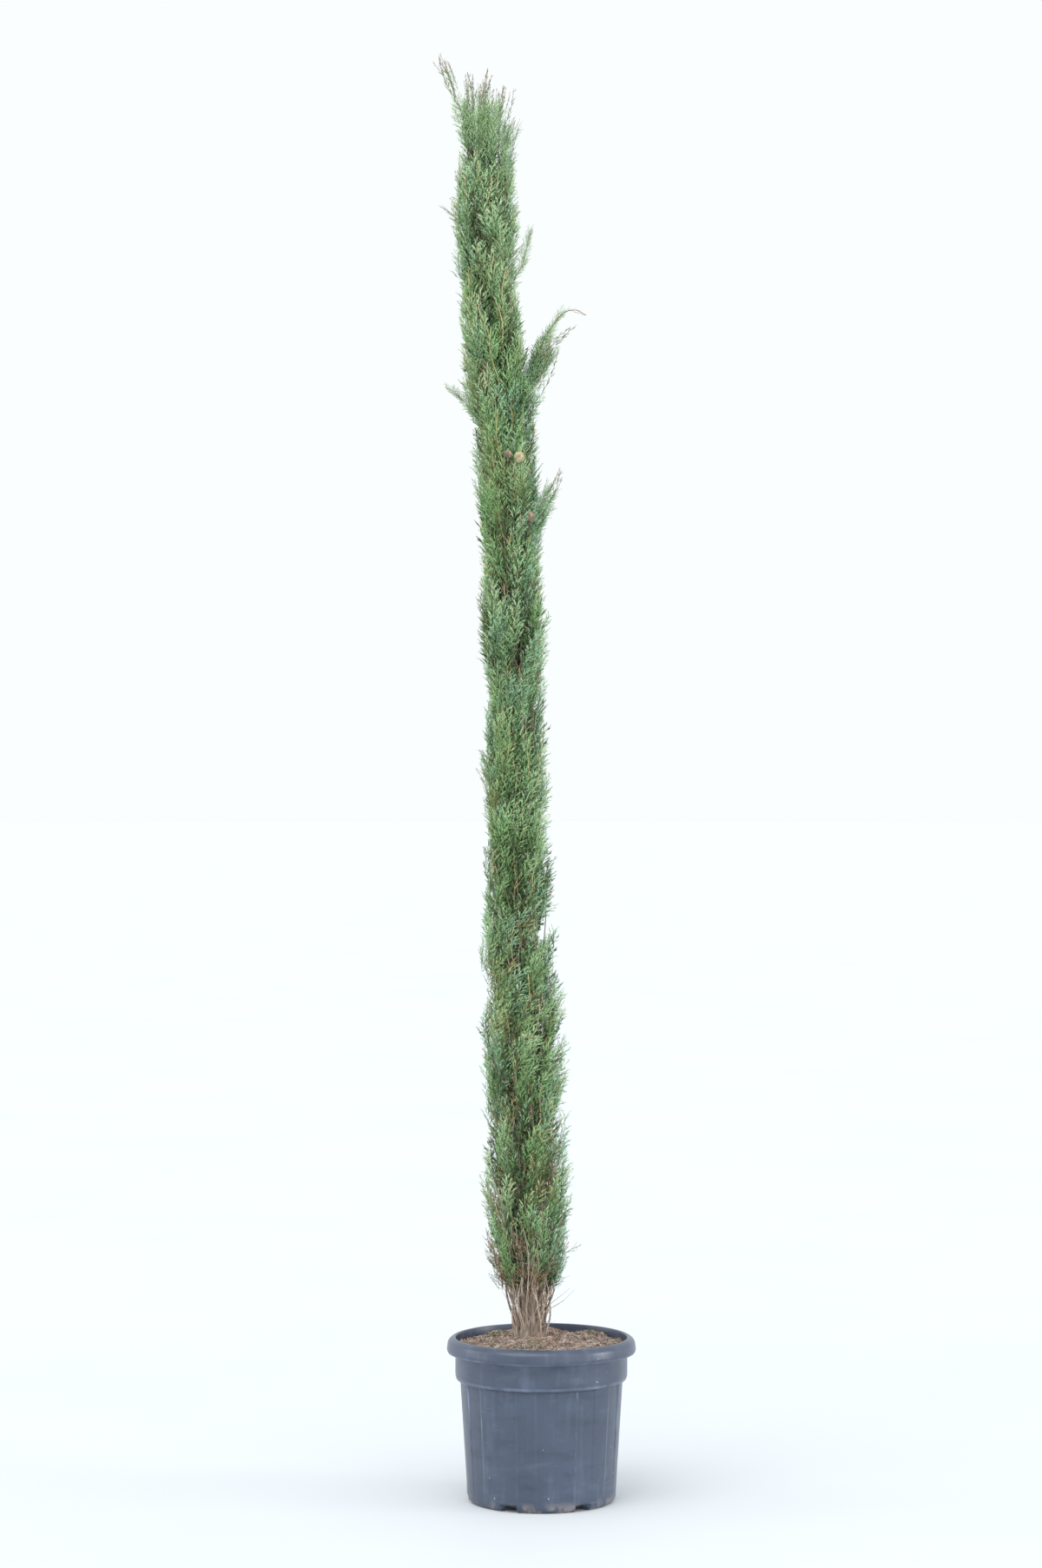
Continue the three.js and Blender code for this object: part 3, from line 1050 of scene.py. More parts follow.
@dataclass
class Mottle:
    """Smooth random hills in space, one set for each tone, so that tones lie in patches."""

    seed: int
    waves: int = 5
    shortest: float = 0.07
    longest: float = 0.3

    def value(self, places: Array, channel: int) -> Array:
        """Gives the hills' height at places for one channel.

        Args:
            places: rows of x, y, z.
            channel: which set of hills.

        Returns:
            Heights, mostly from -1 to 1.
        """
        rng = np.random.default_rng([self.seed, channel])
        ways = unit(rng.normal(0, 1, (self.waves, 3)) * [1, 1, 0.5])
        lengths = rng.uniform(self.shortest, self.longest, self.waves)
        starts = rng.uniform(0, TURN, self.waves)
        return np.sin(places @ (ways * (TURN / lengths)[:, None]).T + starts).sum(axis=1) / 2


@dataclass
class Pattern:
    """A shape a unit long that stands on the origin, made of blades."""

    seed: int

    def __post_init__(self) -> None:
        """Grows the blades."""
        self.blades: list[tuple[Array, Array, float, float]] = []
        self.grow()

    def stroke(self, foot: Array, tip: Array, radius: float, out: float) -> None:
        """Adds a blade, with how far out it is from 0 to 1."""
        self.blades.append((foot, tip, radius, out))


@dataclass
class SprayPattern(Pattern):
    """One spray: an axis, branchlets, and theirs."""

    branchlets: int = 9
    reach: float = 0.44
    lean: float = 0.56
    twiglets: int = 4
    thickness: float = 0.0101
    flatness: float = 0.6

    def grow(self) -> None:
        """Grows the axis in two blades, and the branchlets on either side of it in turn."""
        rng = np.random.default_rng(self.seed)
        bow = rng.uniform(-0.09, 0.09, 2)
        for low, high in ((0.0, 0.5), (0.5, 1.0)):
            self.stroke(bowed(bow, low), bowed(bow, high), self.thickness * (1.25 - 0.4 * high), high ** 2)
        for i in range(self.branchlets):
            t = 0.04 + 0.86 * (i + rng.uniform(-0.3, 0.3)) / self.branchlets
            side = 1 if i % 2 else -1
            roll = rng.normal(0, self.flatness)
            length = self.reach * (1 - 0.58 * t) * rng.uniform(0.75, 1.15)
            lean = self.lean * rng.uniform(0.6, 1.25)
            out = np.array([side * math.cos(roll), math.sin(roll), 0])
            way = unit(out * math.sin(lean) + np.array([0, 0, math.cos(lean)]))
            foot = bowed(bow, t)
            tip = foot + way * length
            self.stroke(foot, tip, self.thickness, 0.35 + 0.45 * t)
            for j in range(self.twiglets):
                start = blend(foot, tip, 0.16 + 0.68 * (j + rng.uniform(0, 0.5)) / self.twiglets)
                aside = np.cross(way, [0, 0, 1]) * (1 if j % 2 else -1) * rng.uniform(0.3, 1)
                twig = unit(way + unit(aside + out * 0.4) * 0.45)
                end = start + twig * length * rng.uniform(0.26, 0.46)
                self.stroke(start, end, self.thickness * 0.92, 0.45 + 0.5 * t)


@dataclass
class WhipPattern(Pattern):
    """One bare whip: a thin shoot with a few short scales held close to it."""

    scales: int = 13
    thickness: float = 0.0115

    def grow(self) -> None:
        """Grows the shoot in five blades, and the scales up it."""
        rng = np.random.default_rng([self.seed, 7])
        bow = rng.uniform(-0.07, 0.07, 2)
        cuts = np.linspace(0, 1, 6)
        for low, high in zip(cuts[:-1], cuts[1:]):
            end = bowed(bow, high) + [0, 0, 0.02]
            self.stroke(bowed(bow, low), end, self.thickness * (1.2 - 0.6 * low), low)
        for i in range(self.scales):
            t = 0.1 + 0.84 * (i + rng.uniform(0, 0.6)) / self.scales
            turn = i * GOLDEN_ANGLE
            foot = bowed(bow, t)
            way = unit(np.array([math.cos(turn) * 0.42, math.sin(turn) * 0.42, 1]))
            tip = foot + way * rng.uniform(0.09, 0.24) * (1.2 - 0.7 * t)
            self.stroke(foot, tip, self.thickness * 0.8, t)


class Part(Enum):
    """Which blades of a spray a piece holds: those near its axis, or those at its edge."""

    INNER = 0
    OUTER = 1


@dataclass
class SprayBed:
    """Geometry nodes that stand a pattern on every point and make one mesh of them all."""

    edge: float = 0.56
    roll: float = 0.75

    def __post_init__(self) -> None:
        """Builds the node tree, which reads each point's kind of pattern, turn and size."""
        kinds = {"kind": "INT", "turn": "FLOAT_VECTOR", "size": "FLOAT"}
        reads = {
            name: ("GeometryNodeInputNamedAttribute", {"data_type": kind, "Name_in": name})
            for name, kind in kinds.items()
        }
        self.tree = standing_tree(
            "stand_patterns",
            {"Overall Size": "Float"},
            {**reads, "grow": ("ShaderNodeMath", {"operation": "MULTIPLY"})},
            "given.Geometry>stand.Points kind.Attribute>stand.Instance_Index turn.Attribute>stand.Rotation "
            "size.Attribute>grow.0 given.Overall_Size>grow.1 grow.0>stand.Scale",
        )

    def patterns(self, shapes: list[Pattern], part: Part) -> Shelf:
        """Makes a hidden shelf of pattern meshes.

        Args:
            shapes: the patterns.
            part: which blades to keep.

        Returns:
            The shelf.
        """
        shelf = new_shelf()
        for number, shape in enumerate(shapes):
            feet, tips, radii, outer = (np.array(column) for column in zip(*shape.blades))
            keep = (outer > self.edge) == (part is Part.OUTER)
            rng = np.random.default_rng([number, 5])
            roll = rng.normal(0, self.roll, keep.sum())
            fronts = np.stack([np.sin(roll), np.cos(roll), rng.normal(0, 0.2, keep.sum())], -1)
            mould = Mould()
            add_blades(mould, feet[keep], tips[keep], radii[keep], fronts)
            mould.cast(f"pattern_{number:02d}", shelf)
        return shelf

    def cast(self, name: str, shelf: Shelf, sprays: Sprays, turns: Array, finish: Material) -> Piece:
        """Stands the patterns on the sprays' feet.

        Args:
            name: the piece's name.
            shelf: the patterns.
            sprays: the sprays of this piece.
            turns: their turns.
            finish: the material that the tree sets.

        Returns:
            A plain mesh object.
        """
        count = len(sprays.feet)
        points = bpy.data.meshes.new(name + "_points")
        points.vertices.add(count)
        points.vertices.foreach_set("co", sprays.feet.astype(np.float32).ravel())
        keep_values(points, "kind", np.arange(count) % len(shelf.objects))
        keep_values(points, "turn", turns)
        keep_values(points, "size", sprays.lengths)
        values = {"Patterns": shelf, "Overall Size": 1.0, "Finish": finish}
        return realized(points, self.tree, values, name)


def standing_tree(
    name: str, inputs: dict[str, str], nodes: dict[str, tuple[str, dict]], links: str
) -> NodeTree:
    """Builds a tree that stands patterns on points, makes them one mesh and sets its finish.

    Args:
        name: the tree's name.
        inputs: its own inputs and their kinds.
        nodes: its own nodes, each a type and its settings.
        links: its own links, as words such as size.Attribute>grow.0.

    Returns:
        The tree, in which given is the input node and stand the one that takes the points.
    """
    tree = bpy.data.node_groups.new(name, "GeometryNodeTree")
    kinds = {"Geometry": "Geometry", "Patterns": "Collection", **inputs, "Finish": "Material"}
    for label, kind in kinds.items():
        tree.interface.new_socket(label, in_out="INPUT", socket_type="NodeSocket" + kind)
    tree.interface.new_socket("Geometry", in_out="OUTPUT", socket_type="NodeSocketGeometry")
    plan = {
        "given": ("NodeGroupInput", {}),
        **nodes,
        "shelf": ("GeometryNodeCollectionInfo", {"Separate_Children_in": True, "Reset_Children_in": True}),
        "stand": ("GeometryNodeInstanceOnPoints", {"Pick_Instance_in": True}),
        "real": ("GeometryNodeRealizeInstances", {}),
        "dress": ("GeometryNodeSetMaterial", {}),
        "out": ("NodeGroupOutput", {}),
    }
    made = {key: add_node(tree, kind, **settings) for key, (kind, settings) in plan.items()}
    tail = (
        " given.Patterns>shelf.Collection shelf.Instances>stand.Instance stand.Instances>real.Geometry"
        " real.Geometry>dress.Geometry given.Finish>dress.Material dress.Geometry>out.Geometry"
    )
    for link in (links + tail).split():
        (source, given), (target, taken) = (end.split(".") for end in link.split(">"))
        tree.links.new(pick(made[source].outputs, given), pick(made[target].inputs, taken))
    return tree


def realized(mesh: bpy.types.Mesh, tree: NodeTree, values: dict[str, object], name: str) -> Piece:
    """Runs a node tree on a mesh and keeps the result as a plain mesh.

    Args:
        mesh: what the tree works on.
        tree: the geometry node tree.
        values: the inputs' values by name, where other names are passed over.
        name: the new piece's name.

    Returns:
        The new object, in the scene, at the origin.
    """
    holder = put_out(name + "_holder", mesh)
    modifier = holder.modifiers.new("grow", "NODES")
    modifier.node_group = tree
    for item in tree.interface.items_tree:
        if item.item_type == "SOCKET" and item.in_out == "INPUT" and item.name in values:
            modifier[item.identifier] = values[item.name]
    evaluated = holder.evaluated_get(bpy.context.evaluated_depsgraph_get())
    grown = bpy.data.meshes.new_from_object(evaluated)
    grown.name = name
    grown.shade_smooth()
    holder.modifiers.remove(modifier)
    bpy.data.objects.remove(holder)
    return put_out(name, grown)


def new_shelf() -> Shelf:
    """Makes a collection for patterns, linked to the scene so that it is evaluated."""
    shelf = bpy.data.collections.new("patterns")
    bpy.context.scene.collection.children.link(shelf)
    return shelf


def empty_shelf(shelf: Shelf) -> None:
    """Removes a collection of patterns and everything on it."""
    for made in list(shelf.objects):
        bpy.data.objects.remove(made)
    bpy.data.collections.remove(shelf)


@dataclass
class Foliage:
    """The crown's sprays, and the twigs that carry them."""

    crown: Crown
    limbs: Limbs
    plumes: int = 290
    to_a_plume: int = 15
    inner: int = 1150
    dead: int = 130
    short: float = 0.062
    long: float = 0.11
    lowest: float = 0.55
    patchiness: float = 0.65
    luck: float = 0.7
    combing: float = 0.9
    fanning: float = 0.1
    # Painted shade: the dark greens of the coarse sprays deep inside the crown.
    inside_colours: tuple[str, str] = ("4c5f40", "5f7850")
    whip_colours: tuple[str, str] = ("839c70", "8f8e72")
    patterns: int = 12
    seed: int = 23
    clearings: tuple[Clearing, ...] = (
        Clearing(1.05, -74, 0.1, 0.2, 0.95),
        Clearing(0.78, -104, 0.13, 0.4, 0.6),
        Clearing(0.57, -90, 0.145, 1.0, 0.99),
        Clearing(0.57, 80, 0.17, 1.0, 0.95),
        Clearing(2.3, -84, 0.05, 0.14, 0.8),
        Clearing(2.74, -108, 0.11, 0.16, 0.8),
        Clearing(3.1, -90, 0.07, 0.16, 0.9),
        Clearing(1.5, 112, 0.08, 0.25, 0.8),
        Clearing(2.5, 70, 0.07, 0.22, 0.8),
        Clearing(0.95, 150, 0.09, 0.22, 0.7),
        Clearing(1.9, 20, 0.06, 0.2, 0.7),
    )
    under_limb: tuple[tuple[float, ...], ...] = (
        (0.1, -0.02, 0.13, 0.07),
        (0.09, 0.03, 0.15, 0.06),
        (0.1, -0.03, 0.12, 0.05),
        (0.06, 0.0, 0.16, 0.065),
    )
    windows: tuple[Triple, ...] = (
        (0.010, 1.472, 0.021),
        (0.052, 1.385, 0.020),
        (-0.040, 2.900, 0.014),
    )
    tufts: tuple[tuple[Triple, Triple, float], ...] = (
        ((-0.108, -0.03, 3.340), (-0.079, -0.03, 3.535), 0.06),
        ((-0.100, 0.03, 3.330), (-0.074, 0.03, 3.485), 0.055),
        ((-0.104, 0.00, 3.300), (-0.073, 0.00, 3.440), 0.06),
        ((-0.132, -0.05, 3.400), (-0.108, -0.06, 3.580), 0.055),
        ((-0.160, -0.05, 3.420), (-0.158, -0.05, 3.605), 0.05),
        ((-0.148, 0.05, 3.420), (-0.138, 0.05, 3.610), 0.05),
        ((-0.188, 0.01, 3.430), (-0.196, 0.01, 3.600), 0.05),
        ((-0.030, -0.01, 2.480), (0.026, -0.02, 2.600), 0.06),
        ((-0.030, 0.01, 2.470), (0.044, 0.01, 2.585), 0.055),
        ((-0.025, 0.00, 2.450), (0.030, 0.00, 2.545), 0.055),
    )
    strays: tuple[tuple[Triple, Triple], ...] = (
        ((-0.205, -0.02, 3.262), (-0.262, -0.03, 3.303)),
        ((-0.200, 0.01, 3.180), (-0.226, 0.01, 3.250)),
        ((-0.198, -0.01, 3.330), (-0.221, -0.02, 3.397)),
        ((-0.140, -0.03, 2.500), (-0.169, -0.05, 2.607)),
        ((0.055, -0.02, 0.630), (0.103, -0.03, 0.655)),
        ((-0.110, -0.03, 0.585), (-0.144, -0.04, 0.635)),
        ((-0.105, 0.02, 0.530), (-0.136, 0.03, 0.576)),
        ((-0.090, 0.02, 3.120), (-0.042, 0.02, 3.218)),
        ((-0.075, -0.01, 3.440), (-0.060, -0.01, 3.505)),
    )

    def __post_init__(self) -> None:
        """Starts the random source."""
        self.rng = np.random.default_rng(self.seed)
        self.mottle = Mottle(self.seed)
        self.limb = Spine.of("arching_limb", (0.7, 0, 0.7), 0.0018)

    def pick_tones(self, places: Array, inside: Array) -> Array:
        """Deals a tone to each spray.

        Args:
            places: where the sprays are.
            inside: how deep they lie, from 0 at the plumes' tops to 1.

        Returns:
            Numbers of the tones, in the order of Tone.
        """
        away = places[:, :2] - self.crown.axis(places[:, 2])
        right = away[:, 0] / np.maximum(np.linalg.norm(away, axis=1), 1e-6)
        low = np.clip((1.15 - places[:, 2]) / 0.5, 0, 1)
        high = np.clip((places[:, 2] - 2.1) / 1.2, 0, 1)
        # The inside terms are painted shade and painted light: sprays deep in the plumes' crevices lean to
        # the dark SHADE tone, the plumes' tops to the pale LIGHT tone. The height terms make the crown
        # lighter towards the top.
        bias = {
            Tone.LIGHT: 1.5 * high - 1.2 * inside - 0.25,
            Tone.FRESH: -0.3 * inside,
            Tone.BLUE: 0.6 * right - 0.2 * inside,
            Tone.YELLOW: -0.5 * right - 0.5 * inside,
            Tone.SHADE: 1.9 * inside - 0.25 - 0.8 * high,
            Tone.DRY: 1.8 * low + 1.4 * inside - 1.5,
        }
        scores = []
        for channel, tone in enumerate(Tone):
            chance = -np.log(-np.log(self.rng.uniform(1e-6, 1 - 1e-6, len(places))))
            hills = self.patchiness * self.mottle.value(places, channel)
            scores.append(math.log(tone.value[0]) + bias[tone] + hills + self.luck * chance)
        return np.argmax(scores, axis=0)

    def thinned(self, height: Array, bearing: Array, share: float) -> Array:
        """Draws which sprays stay, fewer at the clearings.

        Args:
            height: the sprays' heights.
            bearing: their bearings.
            share: how much of the thinning counts.

        Returns:
            True for each that stays.
        """
        lost = np.max([clearing.cover(height, bearing) for clearing in self.clearings], axis=0)
        return self.rng.uniform(0, 1, len(height)) > lost * share

    def grown(
        self, height: Array, bearing: Array, depth: Array, lean: Array, swing: Array, kind: Kind
    ) -> tuple[Sprays, Array]:
        """Works out sprays from where their tips lie on the crown.

        Args:
            height: heights of the tips.
            bearing: bearings of the tips.
            depth: how far out the tips lie, as shares of the outline's distance.
            lean: how far the sprays lean from upright.
            swing: the bearings that they lean to.
            kind: their kind.

        Returns:
            The sprays, all of the first tone, and their tips.
        """
        tips = self.crown.spot(height, bearing, self.crown.reach(height, bearing) * depth)
        ways = leaning(lean, swing)
        count = len(height)
        lengths = self.rng.uniform(self.short, self.long, count)
        feet = tips - ways * lengths[:, None] * 0.97
        feet[:, 2] = np.maximum(feet[:, 2], self.lowest - 0.02)
        tones = np.zeros(count, int)
        return Sprays(feet, ways, flat_way(bearing), lengths, tones, kind.rows(count)), tips

    def plumed(self) -> tuple[Sprays, Array]:
        """Covers the crown with plumes like tall flames, whose tops stand out over the next.

        Returns:
            The sprays, and the paths of the stalks that run up the middle of the plumes.
        """
        rng, count, many = self.rng, self.plumes, self.to_a_plume

        def each(low: float, high: float) -> Array:
            """Draws a number for each plume."""
            return rng.uniform(low, high, (count, 1))

        height = blend(self.crown.low + 0.03, self.crown.high - 0.02, (np.arange(count) + 0.5) / count)
        height = (height + rng.uniform(-0.02, 0.02, count))[:, None]
        bearing = (np.arange(count) * GOLDEN_ANGLE + rng.uniform(-0.25, 0.25, count))[:, None]
        tall, wide, proud = each(0.055, 0.1), each(0.022, 0.033), each(0.99, 1.09)
        spread = np.clip((2.6 - height) / 1.2, 0, 1)
        combed = self.combing * np.exp(-(((height - 1.5) / 0.75) ** 4))
        across = np.cos(bearing) + combed
        lean = each(0.16, 0.4) + spread * each(0.0, 0.3)
        lean = lean + 0.3 * combed * np.clip(across, 0, 1)
        swing = np.arctan2(np.sin(bearing), across) + rng.normal(0, 0.3, (count, 1))
        rise = ((np.arange(many) + 0.5) / many)[None] ** 0.8
        side = np.sin(np.arange(many) * 2.4 + each(0, 6.3)) * (1 - 0.5 * rise)
        level = height + (2 * rise - 1) * tall
        width = np.maximum(self.crown.reach(level, bearing + 0 * level), 0.03)
        around = wrapped(bearing + side * wide / width)
        depth = proud * (0.84 + 0.17 * rise - 0.19 * np.abs(side) ** 2.2)
        depth = depth + rng.normal(0, 0.015, (count, many))
        leans = np.clip(lean - 0.1 * rise + rng.normal(0, 0.06, (count, many)), 0.06, 1.0)
        swings = swing + 0.6 * side + rng.normal(0, 0.13, (count, many))
        rows = (values.ravel() for values in (level, around, depth, leans, swings))
        sprays, tips = self.grown(*rows, Kind.FULL)
        middle = self.crown.spot(height[:, 0], bearing[:, 0], width[:, 0])
        shared = np.repeat(self.pick_tones(middle, np.zeros(count)), many)
        # How deep each spray sits in its plume's crevices; pick_tones turns this into painted shade on the
        # deep ones and painted light on the tops.
        deep = (0.05 + 0.75 * (1 - rise) ** 1.4 + 0.65 * side**2).ravel()
        own = self.pick_tones(tips, deep)
        sprays.tones = np.where(rng.uniform(0, 1, len(own)) < 0.75 - 0.6 * deep, shared, own)
        keep = self.thinned(level.ravel(), around.ravel(), 1.0)
        share = np.linspace(-1.0, 0.7, 6)[None]
        stalk_height = height + share * tall
        wander = bearing + 0.2 * share * np.sin(swing - bearing)
        wander = wander + 0.1 * np.sin(3 * share + each(0, 6.3))
        inset = proud * blend(0.55, each(0.82, 0.97), (share + 1.0) / 1.7)
        inset = inset + 0.07 * np.clip((height - 2.3) / 0.5, 0, 1)
        stalks = self.crown.spot(stalk_height, wander, self.crown.reach(stalk_height, wander) * inset)
        return sprays.chosen(keep), stalks

    def filling(self) -> Sprays:
        """Fills the crown behind the plumes with coarser sprays, which wear dark greens as painted shade
        between the plumes.

        Returns:
            The sprays.
        """
        rng, count = self.rng, self.inner
        height = blend(self.crown.low, self.crown.high + 0.02, (np.arange(count) + 0.5) / count)
        height = height + rng.uniform(-0.012, 0.012, count)
        bearing = np.arange(count) * GOLDEN_ANGLE + rng.uniform(-0.25, 0.25, count)
        bearing = wrapped(bearing)
        keep = self.thinned(height, bearing, 0.45)
        height, bearing = height[keep], bearing[keep]
        count = len(height)
        depth, lean = rng.uniform(0.42, 0.88, count), rng.uniform(0.12, 0.55, count)
        swing = bearing + rng.normal(0, 0.5, count)
        sprays, _ = self.grown(height, bearing, depth, lean, swing, Kind.INSIDE)
        return replace(sprays, lengths=sprays.lengths * 1.25)

    def clear_of(self, paths: Array) -> Array:
        """Finds which paths keep off the windows, where the sky shows through.

        Args:
            paths: paths by points by x, y, z.

        Returns:
            True for each that does.
        """
        keep = np.ones(len(paths), bool)
        for x, z, radius in self.windows:
            keep &= np.hypot(paths[..., 0] - x, (paths[..., 2] - z) * 0.8).min(axis=1) > radius
        return keep

    def opened(self, sprays: Sprays) -> Sprays:
        """Takes out the sprays that stand across the windows."""
        steps = np.linspace(0.1, 1, 5)[None, :, None]
        body = sprays.feet[:, None] + sprays.ways[:, None] * sprays.lengths[:, None, None] * steps
        return sprays.chosen(self.clear_of(body))

    def withered(self) -> Sprays:
        """Leaves dead brown sprays hanging among the bare stems at the foot of the crown.

        Returns:
            The sprays.
        """
        rng, count = self.rng, self.dead
        height = 0.6 + 0.5 * rng.uniform(0, 1, count) ** 1.4
        bearing = rng.uniform(-math.pi, math.pi, count)
        depth, lean = rng.uniform(0.6, 0.98, count), rng.uniform(0.1, 0.8, count)
        swing = bearing + rng.normal(0, 0.6, count)
        sprays, _ = self.grown(height, bearing, depth, lean, swing, Kind.FULL)
        tones = np.full(count, list(Tone).index(Tone.DRY))
        return replace(sprays, lengths=sprays.lengths * 0.75, tones=tones)

    def along(
        self, spine: Spine, size: float, start: float, end: float, step: float, right: float = 0
    ) -> Sprays:
        """Feathers a free limb with sprays.

        Args:
            spine: the limb.
            size: the length of the sprays at its foot.
            start: where along the limb they begin.
            end: where they end.
            step: the distance between them.
            right: how far they bend to the right.

        Returns:
            The sprays.
        """
        rng = self.rng
        count = max(int(path_length(spine.points) * (end - start) / step), 2)
        share = blend(start, end, (np.arange(count) + 0.5) / count)
        feet = spine.at(share)
        run = unit(spine.at(np.minimum(share + 0.05, 1)) - spine.at(np.maximum(share - 0.05, 0)))
        flat = unit(flat_way(np.arange(count) * GOLDEN_ANGLE))
        sideways = unit(flat - run * np.sum(flat * run, axis=1, keepdims=True))
        lean = rng.uniform(0.22, 0.55, count)[:, None]
        ways = unit(run * np.cos(lean) + sideways * np.sin(lean) + np.array([right, 0, 0.25]))
        lengths = size * (1 - 0.5 * share) * rng.uniform(0.8, 1.2, count)
        tones = self.pick_tones(feet, np.zeros(count))
        sides = np.tile([0.0, -1.0, 0.0], (count, 1))
        return Sprays(feet, ways, sides, lengths, tones, Kind.FULL.rows(count))

    def whips_on(self, spine: Spine, count: int, size: float) -> Sprays:
        """Ends a free limb in bare whips, one of which reaches its tip.

        Args:
            spine: the limb.
            count: how many whips.
            size: the length of the longest.

        Returns:
            The whips.
        """
        rng = self.rng
        first = max(1 - size / path_length(spine.points), 0.05)
        share = np.concatenate([[first], rng.uniform(min(first, 0.1), 0.7, count - 1)])
        aside = np.clip(rng.normal(0, 1, (count, 3)), -1.4, 1.4) * [1, 0.8, 0.5] * size * self.fanning
        aside[0] = 0
        feet = spine.at(share) + aside * 0.6
        ways = spine.points[-1] + aside - feet
        lengths = np.linalg.norm(ways, axis=1)
        flat = np.stack([rng.normal(0, 1, count), rng.normal(0, 0.7, count), np.zeros(count)], -1)
        tilt = unit(flat) * rng.uniform(0.03, 0.16, (count, 1))
        tilt[0] = 0
        ways = unit(unit(ways) + tilt)
        lengths = lengths * np.concatenate([[1.0], rng.uniform(0.6, 0.97, count - 1)])
        lengths = np.maximum(lengths, 0.022)
        sides = np.tile([0.0, -1.0, 0.0], (count, 1))
        return Sprays(feet, ways, sides, lengths, np.zeros(count, int), Kind.WHIP.rows(count))

    def free_limbs(self) -> tuple[list[Sprays], list[Array], list[float]]:
        """Grows what stands clear of the column: the tips, the plumes and the sprigs.

        Returns:
            Groups of sprays, the limbs' paths of twelve rings, and the limbs' radii at the foot.
        """
        groups, paths, radii = [], [], []
        share = np.linspace(0, 1, 9)
        for name in nodes_named("tip_", "plume_", "sprig_"):
            low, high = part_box(name)
            lean = unit(np.array(high - low) * [1, 0, 1])
            middle = (low.x + high.x) / 2 - self.crown.axis(np.array(low.z))[0]
            heading = (lean[0] * (1 if middle > 0 else -1), 0, lean[2])
            spine = Spine.of(name, heading, 0.0035)
            wide = spine.radii.max()
            foot = spine.points[0]
            anchor = self.limbs.perches.under(foot, 0.03)
            bend = blend(anchor, foot, 0.55) + np.array([0, 0, 0.004])
            path = np.concatenate([anchor[None], bend[None], spine.at(share), spine.points[-1:]])
            paths.append(path)
            radii.append(0.0008 + wide * 0.02)
            whole = Spine(path, np.zeros(len(path)))
            if name.startswith("sprig_"):
                groups.append(self.along(whole, wide * 2 + 0.035, 0.1, 0.9, 0.0055))
                groups.append(self.whips_on(spine, 4, 0.06))
                continue
            bare = name.startswith("tip_")
            groups.append(self.along(whole, 0.07, 0.0, 0.44 if bare else 0.3, 0.0045))
            groups.append(self.whips_on(spine, 12 if bare else 6, 0.14))
        limb = self.limb
        groups += [
            self.along(limb, 0.07, 0.0, 0.4, 0.004, 0.3),
            self.along(limb, 0.052, 0.36, 0.72, 0.0045, 0.25),
            self.along(limb, 0.03, 0.6, 0.9, 0.01).bared(),
            self.whips_on(limb, 4, 0.045),
        ]
        root = limb.points[0] - np.array([0.02, 0, 0.045])
        lines = [(root, root + aim, size, 0.75, 0.0036, 2, 0.07) for *aim, size in self.under_limb]
        lines += [(foot, tip, size, 0.8, 0.0048, 4, 0.06) for foot, tip, size in self.tufts]
        lines += [(foot, tip, 0.035, 0.7, 0.011, 2, 0.06) for foot, tip in self.strays]
        for number, (foot, tip, size, end, step, count, whip) in enumerate(lines):
            line = Spine(np.array([foot, tip]), np.zeros(2))
            feathers = self.along(line, size, 0.0, end, step)
            bare = number >= len(lines) - len(self.strays)
            groups += [feathers.bared() if bare else feathers, self.whips_on(line, count, whip)]
        return groups, paths, radii

    def build_wood(self, stalks: Array, sprays: Sprays, free: list[Array], thick: list[float]) -> None:
        """Makes the plumes' stalks, a twig from the nearest limb to every spray, and the free limbs.

        Args:
            stalks: the paths of the stalks.
            sprays: the sprays that the twigs carry.
            free: the paths of the free limbs.
            thick: their radii at the foot.
        """
        thickest = self.rng.uniform(0.0009, 0.0014, (len(stalks), 1))
        taper = blend(thickest, 0.0006, np.linspace(0, 1, 6)[None])
        taper = taper * (1 + 0.5 * np.clip((stalks[:, :1, 2] - 2.3) / 0.4, 0, 1))
        build_limbs("plume_stalks", Wood.TWIG_TAN, stalks, taper, 5)
        perches = self.limbs.perches
        found = perches.nearest(sprays.feet)
        start = perches.points[found]
        end = sprays.feet + sprays.ways * sprays.lengths[:, None] * 0.25
        control = start + perches.ways[found] * np.linalg.norm(end - start, axis=1, keepdims=True) * 0.42
        start, control, end = start[:, None], control[:, None], end[:, None]
        share = np.linspace(0, 1, 4)[None, :, None]
        paths = blend(blend(start, control, share), blend(control, end, share), share)
        rng = self.rng
        red = rng.uniform(0, 1, len(paths)) < 0.4
        radii = blend(rng.uniform(0.0008, 0.0014, (len(paths), 1)), 0.0005, np.linspace(0, 1, 4)[None])
        for wood, chosen in ((Wood.TWIG_TAN, ~red), (Wood.TWIG_RED, red)):
            mould = Mould()
            add_tubes(mould, paths[chosen], radii[chosen], 3)
            if wood is Wood.TWIG_RED:
                tubes = np.array(free)
                taper = np.array(thick)[:, None] * blend(1.0, 0.35, np.linspace(0, 1, tubes.shape[1]))
                add_tubes(mould, tubes, taper, 7)
            hand_over(mould.cast(wood.value.name + "s"), wood.value.material())
        path = self.limb.at(np.linspace(0, 1, 30))
        anchor = perches.under(path[0], 0.05)
        path = np.concatenate([blend(anchor, path[0], np.linspace(0, 0.9, 6)[:, None]), path])
        size = blend(0.0034, 0.0008, np.linspace(0, 1, len(path)) ** 0.8)
        radii = size[None, :, None] * ridged(0.06, 4, 9, len(path), 10)
        build_limbs("arching_limb_bark", Wood.TWIG_RED, path[None], radii, 10, ["arching_limb"])

